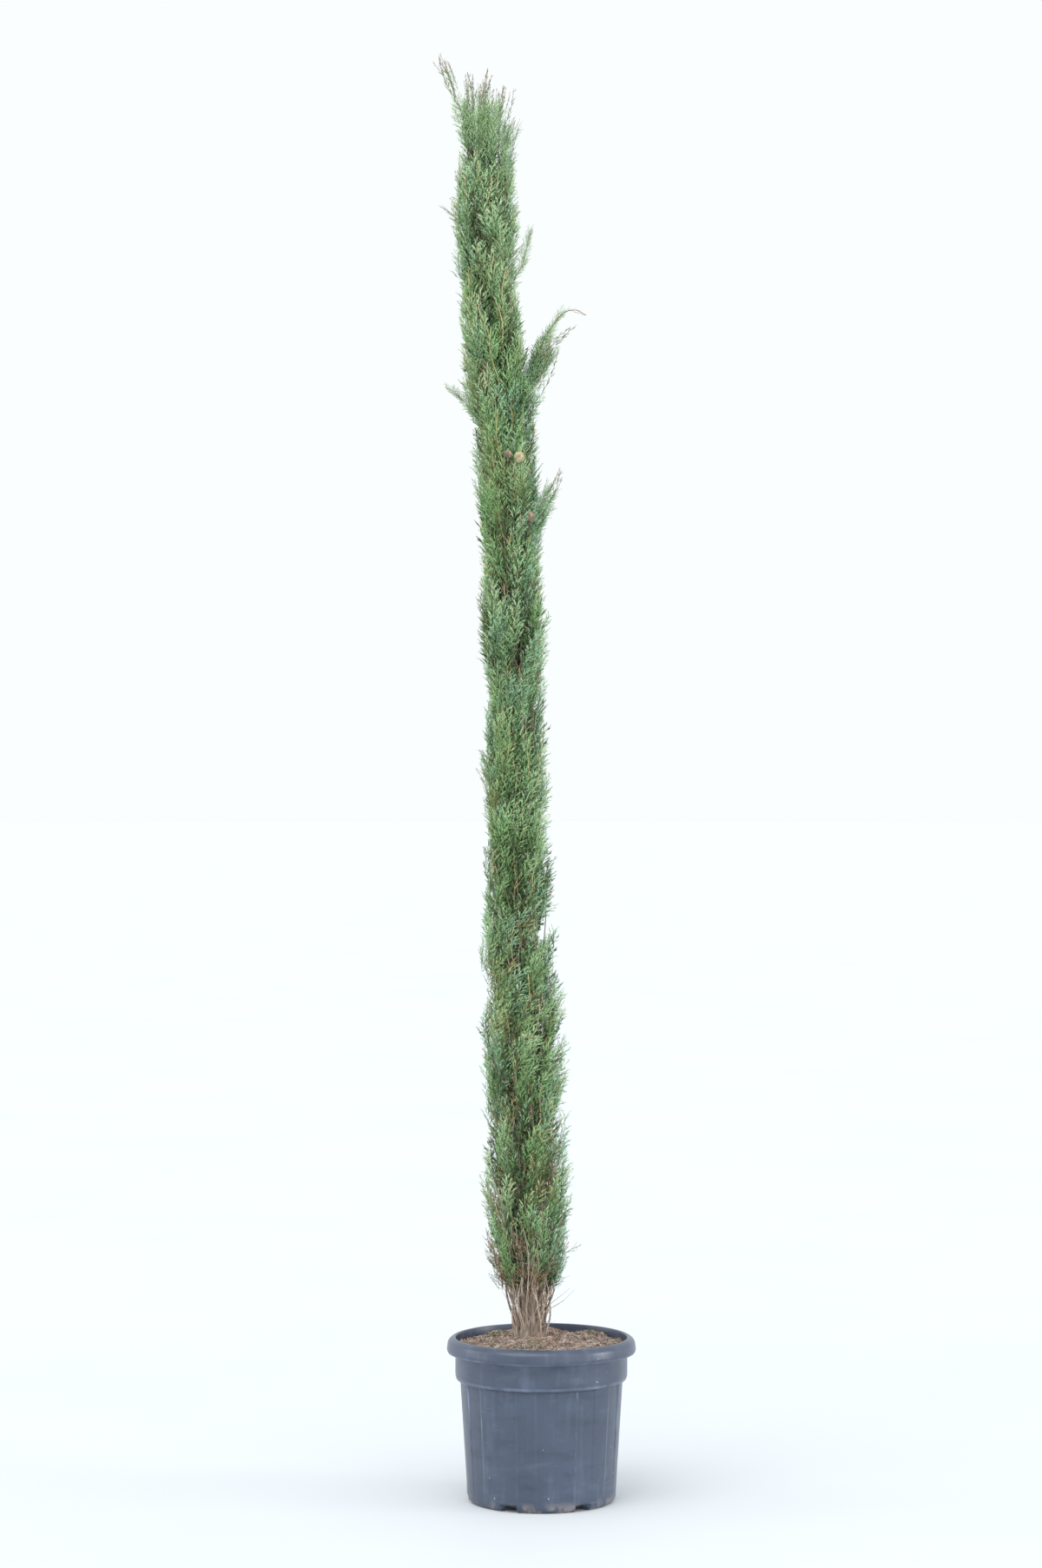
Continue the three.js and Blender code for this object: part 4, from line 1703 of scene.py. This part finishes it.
    def build(self) -> None:
        """Grows every spray and makes the foliage, one piece for each tone and part."""
        outer, stalks = self.plumed()
        outer, inner = self.opened(outer), self.opened(self.filling())
        groups, free, thick = self.free_limbs()
        groups.append(self.withered())
        self.build_wood(stalks[self.clear_of(stalks)], Sprays.joined([outer, inner]), free, thick)
        sprays = Sprays.joined([outer, inner, *groups])
        turns = sprays.turns(self.rng, 0.7)
        bed = SprayBed()
        full, inside, bare = (sprays.kinds == kind.value for kind in Kind)
        tinted = [
            (f"foliage_{tone.name.lower()}_inner", f"foliage_{tone.name.lower()}_outer")
            + tone.value[1:] + (full & (sprays.tones == number),)
            for number, tone in enumerate(Tone)
        ]
        leafy = [SprayPattern(40 + i) for i in range(self.patterns)]
        coarse = [SprayPattern(80 + i, branchlets=9, twiglets=1, thickness=0.018) for i in range(8)]
        whips = [WhipPattern(i) for i in range(8)]
        for shapes, looks, starts in (
            (leafy, tinted, ("foliage_",)),
            # The coarse inside sprays wear dark greens as painted shade between the plumes.
            (coarse, [("inside_dark", "inside_tips", *self.inside_colours, inside)], ()),
            (whips, [("whips", "whip_ends", *self.whip_colours, bare)], ("tip_", "plume_", "sprig_")),
        ):
            stand_ins = nodes_named(*starts)
            for part in Part:
                shelf = bed.patterns(shapes, part)
                for look in looks:
                    name, chosen = look[part.value], look[-1]
                    finish = LeafFinish(name, look[2 + part.value]).material()
                    made = bed.cast(name, shelf, sprays.chosen(chosen), turns[chosen], finish)
                    hand_over(made, finish, stand_ins)
                    stand_ins = []
                empty_shelf(shelf)
        for kind in Kind:
            log.info("%s: %d sprays", kind.name.lower(), int((sprays.kinds == kind.value).sum()))


@dataclass(frozen=True)
class ConeSpot:
    """Where a cone hangs on the crown, with its bearing in degrees, and how wide it is."""

    height: float
    bearing: float
    width: float
    ripe: bool


@dataclass
class Cones:
    """Woody cones of a dozen or so shield-shaped scales, each with a small point."""

    crown: Crown
    shields: int = 13
    around: int = 44
    down: int = 30
    groove: float = 0.11
    point: float = 0.07
    stalk: float = 0.012
    spots: tuple[ConeSpot, ...] = (
        ConeSpot(2.658, -67, 0.026, False),
        ConeSpot(2.664, -88, 0.018, True),
        ConeSpot(2.509, -38, 0.025, True),
        ConeSpot(2.21, 62, 0.026, False),
        ConeSpot(2.93, 118, 0.024, True),
        ConeSpot(1.72, 104, 0.026, False),
    )

    def add(self, mould: Mould, spot: ConeSpot, seed: int) -> None:
        """Adds one cone and its short stalk.

        Args:
            mould: where it goes.
            spot: where it hangs.
            seed: the seed of its own shape.
        """
        rng = np.random.default_rng([seed, 3])
        order = np.arange(self.shields) + 0.5
        polar = np.arccos(1 - 2 * order / self.shields)
        turn = order * GOLDEN_ANGLE * 2 + rng.uniform(0, 6)
        hubs = leaning(polar, turn)
        lat = np.linspace(0.06, math.pi - 0.06, self.down)
        way = leaning(lat[:, None], bearings(self.around)[None])
        near = np.sort(np.arccos(np.clip(way @ hubs.T, -1, 1)), axis=-1)
        seam = np.clip((near[..., 1] - near[..., 0]) / 0.17, 0, 1)
        tip = np.exp(-((near[..., 0] / 0.13) ** 2))
        radius = spot.width / 2 * (1 - self.groove * (1 - seam) ** 1.5 + self.point * tip)
        radius = radius * (1 + rng.normal(0, 0.006, radius.shape))
        height, bearing = np.array([spot.height]), np.array([math.radians(spot.bearing)])
        middle = self.crown.spot(height, bearing, self.crown.reach(height, bearing) * 0.97)[0]
        skin = middle + way * radius[..., None] * [1, 1, 1.12]
        poles = middle + np.array([[0, 0, 1.0], [0, 0, -1.0]]) * spot.width * 0.56
        caps, quads = ring_faces(self.down, self.around)
        mould.add(np.concatenate([skin.reshape(-1, 3), poles]), caps[:, [0, 2, 1]], quads[:, [0, 3, 2, 1]])
        away = flat_way(bearing)[0]
        share = np.linspace(0, 1, 5)[:, None]
        top_of = middle - [0, 0, spot.width * 0.45]
        path = top_of - away * self.stalk * 1.6 * share ** 2 - np.array([0, 0, self.stalk]) * share
        add_tubes(mould, path[None, ::-1], np.full((1, 5), 0.0013), 6)

    def build(self) -> None:
        """Makes the pale closed cones and the browner ones."""
        pale, brown = "8d8062 b9ab88 d3c8a8", "6a5a4b 8d7d6a b9ab93"
        for ripe, tint, colours in ((False, "pale", pale), (True, "brown", brown)):
            finish = CrumbFinish("cone_" + tint, colours, 90, 600, 0.0004)
            mould = Mould()
            for number, spot in enumerate(self.spots):
                if spot.ripe == ripe:
                    self.add(mould, spot, number)
            hand_over(mould.cast("cones_" + tint), finish.material())


# ---- the pot


@dataclass
class NurseryPot:
    """The round pot: a rolled lip over a collar, and a fluted wall with notches at its foot."""

    collar: float = 0.220
    collar_drop: float = 0.107
    lip_drop: float = 0.039
    mouth: float = 0.223
    body_top: float = 0.208
    base: float = 0.189
    wall: float = 0.003
    low: float = 0.024
    panels: int = 24
    recess: float = 0.003
    faded: float = 0.0008
    first_recess: float = math.radians(-56.5)
    notches: int = 6
    notch_half: float = math.radians(6.2)
    notch_height: float = 0.0175
    notch_depth: float = 0.032
    chamfer: float = 0.009
    longest_row: float = 0.022
    # Bearings of the panel edges with strong pale lines, partly worn plastic and partly painted highlight.
    worn_edges: tuple[float, ...] = (-139, -64, -49, 26, 56, 71, 101, 161)

    def __post_init__(self) -> None:
        """Reads the pot's outer sizes from the frame."""
        low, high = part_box("pot")
        self.height = high.z
        self.rim = (high.x - low.x) / 2

    def outline(self) -> Array:
        """Draws the half outline, from under the foot out, up, over the lip and down inside.

        Returns:
            Rows of radius and height.
        """
        base, low, collar, mouth = self.base, self.low, self.collar, self.mouth
        top, rim, notch = self.height, self.rim, self.notch_height
        step, skirt = top - self.collar_drop, top - self.lip_drop
        inner, lining = self.recess + self.wall, collar - self.wall - 0.001
        corners = [
            (base * 0.75, 0, 0),
            (base - self.chamfer, 0, 0.002),
            (base, self.chamfer * 0.9, 0.004),
            (base + 0.001, notch, 0),
            (base + 0.001, notch + 0.0006, 0),
            (base + 0.0015, low, 0),
            (self.body_top, step - 0.004, 0.003),
            (collar - 0.003, step, 0.003),
            (collar, step + 0.009, 0.006),
            (collar, skirt - 0.001, 0.001),
            (rim - 0.003, skirt, 0.0015),
            (rim, skirt + 0.007, 0.005),
            (rim - 0.003, top - 0.009, 0.008),
            (mouth + 0.003, top, 0.006),
            (mouth - 0.004, top - 0.001, 0.003),
            (lining, skirt, 0.012),
            (lining, step + 0.01, 0.005),
            (self.body_top - inner, step - 0.002, 0.005),
            (base - inner, low + 0.001, 0.001),
            (base - 0.034, low, 0.001),
            (base - 0.036, 0.005, 0.001),
            (base * 0.7, 0.004, 0),
        ]
        return spaced(rounded(corners, 4), self.longest_row)

    def columns(self) -> Array:
        """Lists the bearings of the columns of faces, close together at the panels' edges."""
        panel = TURN / self.panels
        inside = np.array([0.028, 0.1, 0.3, 0.5, 0.7, 0.9, 0.972]) * panel
        starts = self.first_recess + (np.arange(self.panels) - 0.5) * panel
        return (starts[:, None] + inside).ravel()

    def build(self) -> None:
        """Makes the pot."""
        outline, turn = self.outline(), self.columns()
        radius = np.repeat(outline[:, :1], len(turn), axis=1)
        height = np.repeat(outline[:, 1:], len(turn), axis=1)
        step = self.height - self.collar_drop
        panel = TURN / self.panels
        number = np.repeat(np.arange(self.panels), 7)
        sunk = (number % 2 == 0)[None]
        inside_rows = np.arange(len(outline)) > outline[:, 0].argmax()
        wall = ((outline[:, 1] > self.low) & (outline[:, 1] < step - 0.001) & ~inside_rows)[:, None]
        rise = np.clip((height - self.low) / (step - self.low), 0, 1)
        radius = radius - wall * sunk * blend(self.faded, self.recess, rise)
        gap = (turn - self.first_recess + math.pi / self.notches) % (TURN / self.notches)
        near = np.abs(gap - math.pi / self.notches) < self.notch_half
        cut = (height <= self.notch_height + 1e-5) & ~inside_rows[:, None] & near[None]
        notched = np.minimum(radius, self.base) - self.notch_depth
        radius = np.where(cut & (radius > self.base * 0.8), notched, radius)
        mould = Mould()
        add_turned(mould, np.stack([radius * np.cos(turn), radius * np.sin(turn), height], -1))
        pot = mould.cast("nursery_pot")
        # Pale lines on the panels' edges, faint on every edge and strong at the listed bearings: partly
        # worn plastic, partly painted highlight.
        edge = np.isin(np.arange(len(turn)) % 7, (0, 6)) & (number % 2 == 1)
        strength = np.full(len(turn), 0.07)
        for bearing in self.worn_edges:
            apart = np.abs(wrapped(turn - math.radians(bearing - 90)))
            strength = np.where(apart < panel * 0.1, 0.75, strength)
        wear_and_highlight = wall * edge[None] * strength[None] * blend(0.25, 1.0, rise)
        # Pale bands round the lip's skirt, the step and the rim's top: partly worn plastic, partly painted
        # highlight.
        rims = ((self.height - self.lip_drop, 0.25), (step + 0.004, 0.34), (self.height, 0.3))
        for level, strength in rims:
            rubbed_and_highlit = (np.abs(outline[:, 1] - level) < 0.0045) & ~inside_rows
            wear_and_highlight = np.maximum(wear_and_highlight, strength * rubbed_and_highlit[:, None])
        keep_values(pot.data, "edge_wear", np.append(wear_and_highlight, [0, 0]))
        hand_over(pot, PotFinish().material(), ["pot"])


def rounded(corners: list[Triple], steps: int) -> Array:
    """Rounds the corners of an outline.

    Args:
        corners: rows of radius, height and how far off the rounding starts.
        steps: points of each rounding, less one.

    Returns:
        Rows of radius and height.
    """
    line = [np.array(corners[0][:2])]
    for before, here, after in zip(corners[:-2], corners[1:-1], corners[2:]):
        corner = np.array(here[:2])
        if here[2] == 0:
            line.append(corner)
            continue
        back, on = np.array(before[:2]) - corner, np.array(after[:2]) - corner
        one = corner + unit(back) * min(here[2], np.linalg.norm(back) * 0.45)
        two = corner + unit(on) * min(here[2], np.linalg.norm(on) * 0.45)
        for share in np.linspace(0, 1, steps + 1):
            line.append(blend(blend(one, corner, share), blend(corner, two, share), share))
    line.append(np.array(corners[-1][:2]))
    return np.array(line)


def spaced(line: Array, longest: float) -> Array:
    """Adds points to a line so that no step is longer than a limit.

    Args:
        line: rows of radius and height.
        longest: the limit.

    Returns:
        The line with its new points.
    """
    found = [line[0]]
    for one, two in zip(line[:-1], line[1:]):
        cuts = max(math.ceil(np.linalg.norm(two - one) / longest), 1)
        found += [blend(one, two, (i + 1) / cuts) for i in range(cuts)]
    return np.array(found)


# ---- the soil


@dataclass(frozen=True)
class Litter:
    """One kind of loose matter on the soil: its pattern, how thick it lies and its colours."""

    name: str
    shape: str
    share: str
    density: float
    smallest: float
    largest: float
    tilt: float
    colours: str
    seed: int


class Scatter(Enum):
    """Everything that lies on the soil."""

    BARK = Litter("bark_chips", "plate", "chips", 7000, 0.005, 0.015, 0.8, "5c453a 8a6855 ab8b79 c6af9f", 2)
    BROWN = Litter("brown_needles", "stick", "needles", 12000, 0.007, 0.020, 0.6, "625148 8b766a ac978a", 3)
    TAN = Litter("tan_needles", "stick", "needles", 6000, 0.008, 0.026, 0.5, "a08f7d c4b3a0 dccdb8", 4)
    GREY = Litter("grey_crumbs", "grain", "needles", 36000, 0.002, 0.006, 1.6, "7d746f a59b95 cdc4be", 5)
    MOSS = Litter("moss", "tuft", "moss", 34000, 0.004, 0.009, 0.5, "5f6e4b 7e8f63 9dab82", 6)
    PALE = Litter("pale_chips", "plate", "pale", 3600, 0.008, 0.017, 0.5, "c9a873 d9c197 e6d5b4", 7)
    CHUNK = Litter("bark_chunks", "plate", "chunk", 9000, 0.016, 0.028, 1.1, "5a3a2c 85563f a87c62", 9)


@dataclass
class Soil:
    """The mulch: a low mound with litter, bark chips and a little moss."""

    radius: float = 0.2152
    rim_level: float = 0.3935
    underside: float = 0.35
    rings: int = 70
    spokes: int = 210
    roughness: float = 0.0021
    seed: int = 31
    mossy: tuple[Triple, ...] = (
        (-0.014, -0.116, 0.034),
        (0.125, 0.097, 0.03),
        (-0.11, 0.06, 0.026),
        (-0.13, -0.075, 0.018),
    )
    pale: tuple[Triple, ...] = ((0.101, -0.152, 0.017), (-0.05, 0.16, 0.014))
    chunk: tuple[Triple, ...] = ((0.077, 0.185, 0.014), (-0.1, 0.15, 0.01))

    def __post_init__(self) -> None:
        """Reads the soil's level from the frame."""
        self.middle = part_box("soil")[1].z - 0.0005

    def surface(self, radius: Array, turn: Array) -> Array:
        """Gives the mound's height at radii and bearings.

        Args:
            radius: distances from the middle.
            turn: bearings.

        Returns:
            Heights above the floor.
        """
        x, y = radius * np.cos(turn), radius * np.sin(turn)
        share = np.clip(radius / self.radius, 0, 1)
        height = blend(self.middle, self.rim_level, share ** 1.9)
        places = np.stack([x, y, np.zeros_like(x)], -1).reshape(-1, 3)
        for number, (wave, gain) in enumerate(((0.09, 1.6), (0.035, 1.0), (0.016, 0.7), (0.008, 0.45))):
            lumps = Mottle(self.seed + number, 7, wave * 0.6, wave * 1.5).value(places, 0)
            calm = 0.35 + 0.65 * (share < 0.97)
            height = height + self.roughness * gain * lumps.reshape(x.shape) * calm
        return height

    def build_ground(self) -> Piece:
        """Makes the mound, with how thick each kind of litter lies as attributes.

        Returns:
            The mound, which has no finish yet.
        """
        turn = bearings(self.spokes)
        radius = np.linspace(1, 0.03, self.rings)[:, None] * self.radius * np.ones_like(turn)
        level = self.surface(radius, np.broadcast_to(turn, radius.shape))
        skirt = np.full((2, self.spokes), self.radius)
        skirt[0] = self.radius * 0.96
        radius = np.concatenate([skirt, radius])
        level = np.concatenate([np.full((2, self.spokes), self.underside), level])
        x, y = radius * np.cos(turn), radius * np.sin(turn)
        mould = Mould()
        add_turned(mould, np.stack([x, y, level], -1))
        ground = mould.cast("mulch")
        bare = np.ones_like(x)
        bare[:3] = 0
        hills = Mottle(77).value(np.stack([x, y, level], -1).reshape(-1, 3), 0)
        worn = np.clip(0.75 + 0.5 * hills, 0.15, 1.4)
        shares = {
            "chips": bare * worn.reshape(x.shape) * (0.5 + 0.9 * (x > -0.02)),
            "needles": bare,
            "moss": bare * patches(x, y, self.mossy),
            "pale": bare * patches(x, y, self.pale),
            "chunk": bare * patches(x, y, self.chunk),
        }
        for name, share in shares.items():
            keep_values(ground.data, name, np.append(share, [0, share[-1].mean()]))
        return ground

    def build(self) -> None:
        """Makes the soil and everything that lies on it."""
        ground = self.build_ground()
        tree = scatter_tree()
        for kind in Scatter:
            litter = kind.value
            shelf = litter_patterns(litter)
            finish = CrumbFinish(litter.name, litter.colours, 46).material()
            own = {name.title(): value for name, value in vars(litter).items()}
            values = {"Patterns": shelf, "Finish": finish, **own}
            hand_over(realized(ground.data, tree, values, litter.name), finish)
            empty_shelf(shelf)
        finish = CrumbFinish("mulch", "4b403b 716259 948479 ad9f96", 55, 300, 0.003)
        hand_over(ground, finish.material(), ["soil"])


def patches(x: Array, y: Array, spots: tuple[Triple, ...]) -> Array:
    """Gives 1 in the middle of round spots, falling to 0 outside them.

    Args:
        x: places.
        y: places.
        spots: rows of x, y and radius.

    Returns:
        Shares from 0 to 1.
    """
    total = np.zeros_like(x)
    for at_x, at_y, radius in spots:
        total = np.maximum(total, np.exp(-2.2 * ((x - at_x) ** 2 + (y - at_y) ** 2) / radius**2))
    return np.where(total > 0.12, total, 0)


def litter_patterns(litter: Litter) -> Shelf:
    """Makes a few shapes of one kind of litter, each about a unit long.

    Args:
        litter: the kind.

    Returns:
        A shelf of the shapes.
    """
    shelf = new_shelf()
    for number in range(7):
        rng = np.random.default_rng([litter.seed, number])
        mould = Mould()
        if litter.shape == "stick":
            share = np.linspace(0, 1, 5)
            curl = 0.14 * rng.uniform(-1, 1)
            path = np.stack([share - 0.5, curl * share**2, 0.05 * np.sin(3 * share)], -1)
            add_tubes(mould, path[None], np.array([[0.03, 0.034, 0.03, 0.026, 0.015]]), 3)
        elif litter.shape == "grain":
            ring = rng.uniform(0.28, 0.5, (4, 1)) * np.array([[1, 0, 0], [0, 1, 0], [-1, 0, 0], [0, -1, 0]])
            ends = np.array([[0, 0, -0.3], [0, 0, 0.34]]) + rng.uniform(-0.08, 0.08, (2, 3))
            add_turned(mould, ring[None], ends)
        elif litter.shape == "tuft":
            count = 7
            turn = rng.uniform(0, TURN, count)
            tips = np.stack([np.cos(turn), np.sin(turn), rng.uniform(0.6, 1.6, count)], -1) * 0.45
            add_blades(mould, tips * [0.2, 0.2, -0.2], tips, np.full(count, 0.12), np.roll(tips, 1, axis=0))
        else:
            turn = bearings(7)
            long, broad = 0.5 * rng.uniform(0.75, 1, 7), rng.uniform(0.2, 0.42)
            flat = np.stack([long * np.cos(turn), broad * np.sin(turn), 0.08 * np.sin(2 * turn)], -1)
            thick = np.array([0, 0, rng.uniform(0.06, 0.14)])
            add_turned(mould, np.stack([flat * [0.8, 0.8, 1] - thick, flat, flat * [0.7, 0.7, 1] + thick]))
        mould.cast(f"{litter.name}_{number}", shelf)
    return shelf


def scatter_tree() -> NodeTree:
    """Builds the node tree that strews patterns over a surface by a share kept on it.

    Returns:
        The tree.
    """
    numbers = dict.fromkeys(("Density", "Smallest", "Largest", "Tilt"), "Float")
    return standing_tree(
        "strew_litter",
        {"Share": "String", **numbers, "Seed": "Int"},
        {
            "share": ("GeometryNodeInputNamedAttribute", {"data_type": "FLOAT"}),
            "thick": ("ShaderNodeMath", {"operation": "MULTIPLY"}),
            "strew": ("GeometryNodeDistributePointsOnFaces", {}),
            "back": ("ShaderNodeMath", {"operation": "MULTIPLY", "1_in": -1}),
            "lowest": ("ShaderNodeCombineXYZ", {}),
            "highest": ("ShaderNodeCombineXYZ", {"Z_in": TURN}),
            "spin": ("FunctionNodeRandomValue", {"data_type": "FLOAT_VECTOR"}),
            "size": ("FunctionNodeRandomValue", {}),
        },
        "given.Share>share.Name share.Attribute>thick.0 given.Density>thick.1 given.Geometry>strew.Mesh "
        "thick.0>strew.Density strew.Points>stand.Points given.Tilt>back.0 back.0>lowest.X "
        "back.0>lowest.Y given.Tilt>highest.X given.Tilt>highest.Y lowest.Vector>spin.Min "
        "highest.Vector>spin.Max spin.Value>stand.Rotation given.Smallest>size.2 given.Largest>size.3 "
        "given.Seed>strew.Seed given.Seed>size.Seed given.Seed>spin.Seed size.1>stand.Scale",
    )


# ---- the studio


@dataclass(frozen=True)
class Sun:
    """A broad soft light that is the same all over: where it comes from, and how strong it is."""

    name: str
    azimuth: float
    elevation: float
    strength: float
    spread: float


@dataclass
class Studio:
    """A pale floor, a soft white surround, and a level camera in front of the tree."""

    distance: float = 9.0
    eye_height: float = 1.829
    sideways: float = -0.052
    lens: float = 80.8
    sensor: float = 36.0
    floor_radius: float = 160.0
    floor_middle: float = 3.0
    floor_thickness: float = 0.02
    lamp_distance: float = 8.0
    farthest: float = 300.0
    surround: str = "fafeff"
    ambient: float = 1.0
    suns: tuple[Sun, ...] = (
        Sun("key_light", -32, 48, 1.42, 50),
        Sun("fill_light", 38, 30, 0.78, 70),
        Sun("right_light", 80, 12, 0.9, 20),
        Sun("left_light", -92, 14, 0.55, 36),
    )

    def build_floor(self) -> None:
        """Makes the floor, a wide disc."""
        turn = bearings(96)
        near, far, under = self.floor_middle, self.floor_radius, -self.floor_thickness
        outline = ((near, under), (far, under), (far, 0.0), (near, 0.0))
        rings = np.stack([flat_way(turn) * radius + [0, 0, level] for radius, level in outline])
        mould = Mould()
        add_turned(mould, rings)
        floor = mould.cast("studio_floor")
        floor.data.shade_flat()
        floor.data.materials.append(FloorFinish().material())

    def build_lights(self) -> None:
        """Sets the surround and the soft lights."""
        world = bpy.data.worlds.new("surround")
        world.use_nodes = True
        sky = world.node_tree.nodes["Background"]
        sky.inputs["Color"].default_value = paint(self.surround)
        sky.inputs["Strength"].default_value = self.ambient
        bpy.context.scene.world = world
        for sun in self.suns:
            light = bpy.data.lights.new(sun.name, "SUN")
            light.energy = sun.strength
            light.angle = math.radians(sun.spread)
            lamp = put_out(sun.name, light)
            turn, rise = math.radians(sun.azimuth - 90), math.radians(sun.elevation)
            level = math.cos(rise)
            place = Vector((math.cos(turn) * level, math.sin(turn) * level, math.sin(rise)))
            lamp.location = place * self.lamp_distance
            lamp.rotation_euler = place.to_track_quat("Z", "Y").to_euler()

    def build_camera(self) -> None:
        """Stands a level camera in front of the tree."""
        data = bpy.data.cameras.new("camera")
        data.lens = self.lens
        data.sensor_width = self.sensor
        data.clip_end = self.farthest
        camera = put_out("camera", data)
        camera.location = (self.sideways, -self.distance, self.eye_height)
        camera.rotation_euler = (math.pi / 2, 0, 0)
        bpy.context.scene.camera = camera

    def build(self) -> None:
        """Makes the whole studio."""
        bpy.context.scene.view_settings.view_transform = "Standard"
        self.build_floor()
        self.build_lights()
        self.build_camera()


def main() -> None:
    """Builds the tree, the pot and the studio in order."""
    logging.basicConfig(level=logging.INFO, format="%(name)s: %(message)s")
    crown = Crown()
    soil = Soil()
    limbs = Limbs(crown, soil.middle)
    limbs.build()
    Foliage(crown, limbs).build()
    Cones(crown).build()
    NurseryPot().build()
    soil.build()
    Studio().build()
    bpy.context.view_layer.update()


if __name__ == "__main__":
    main()
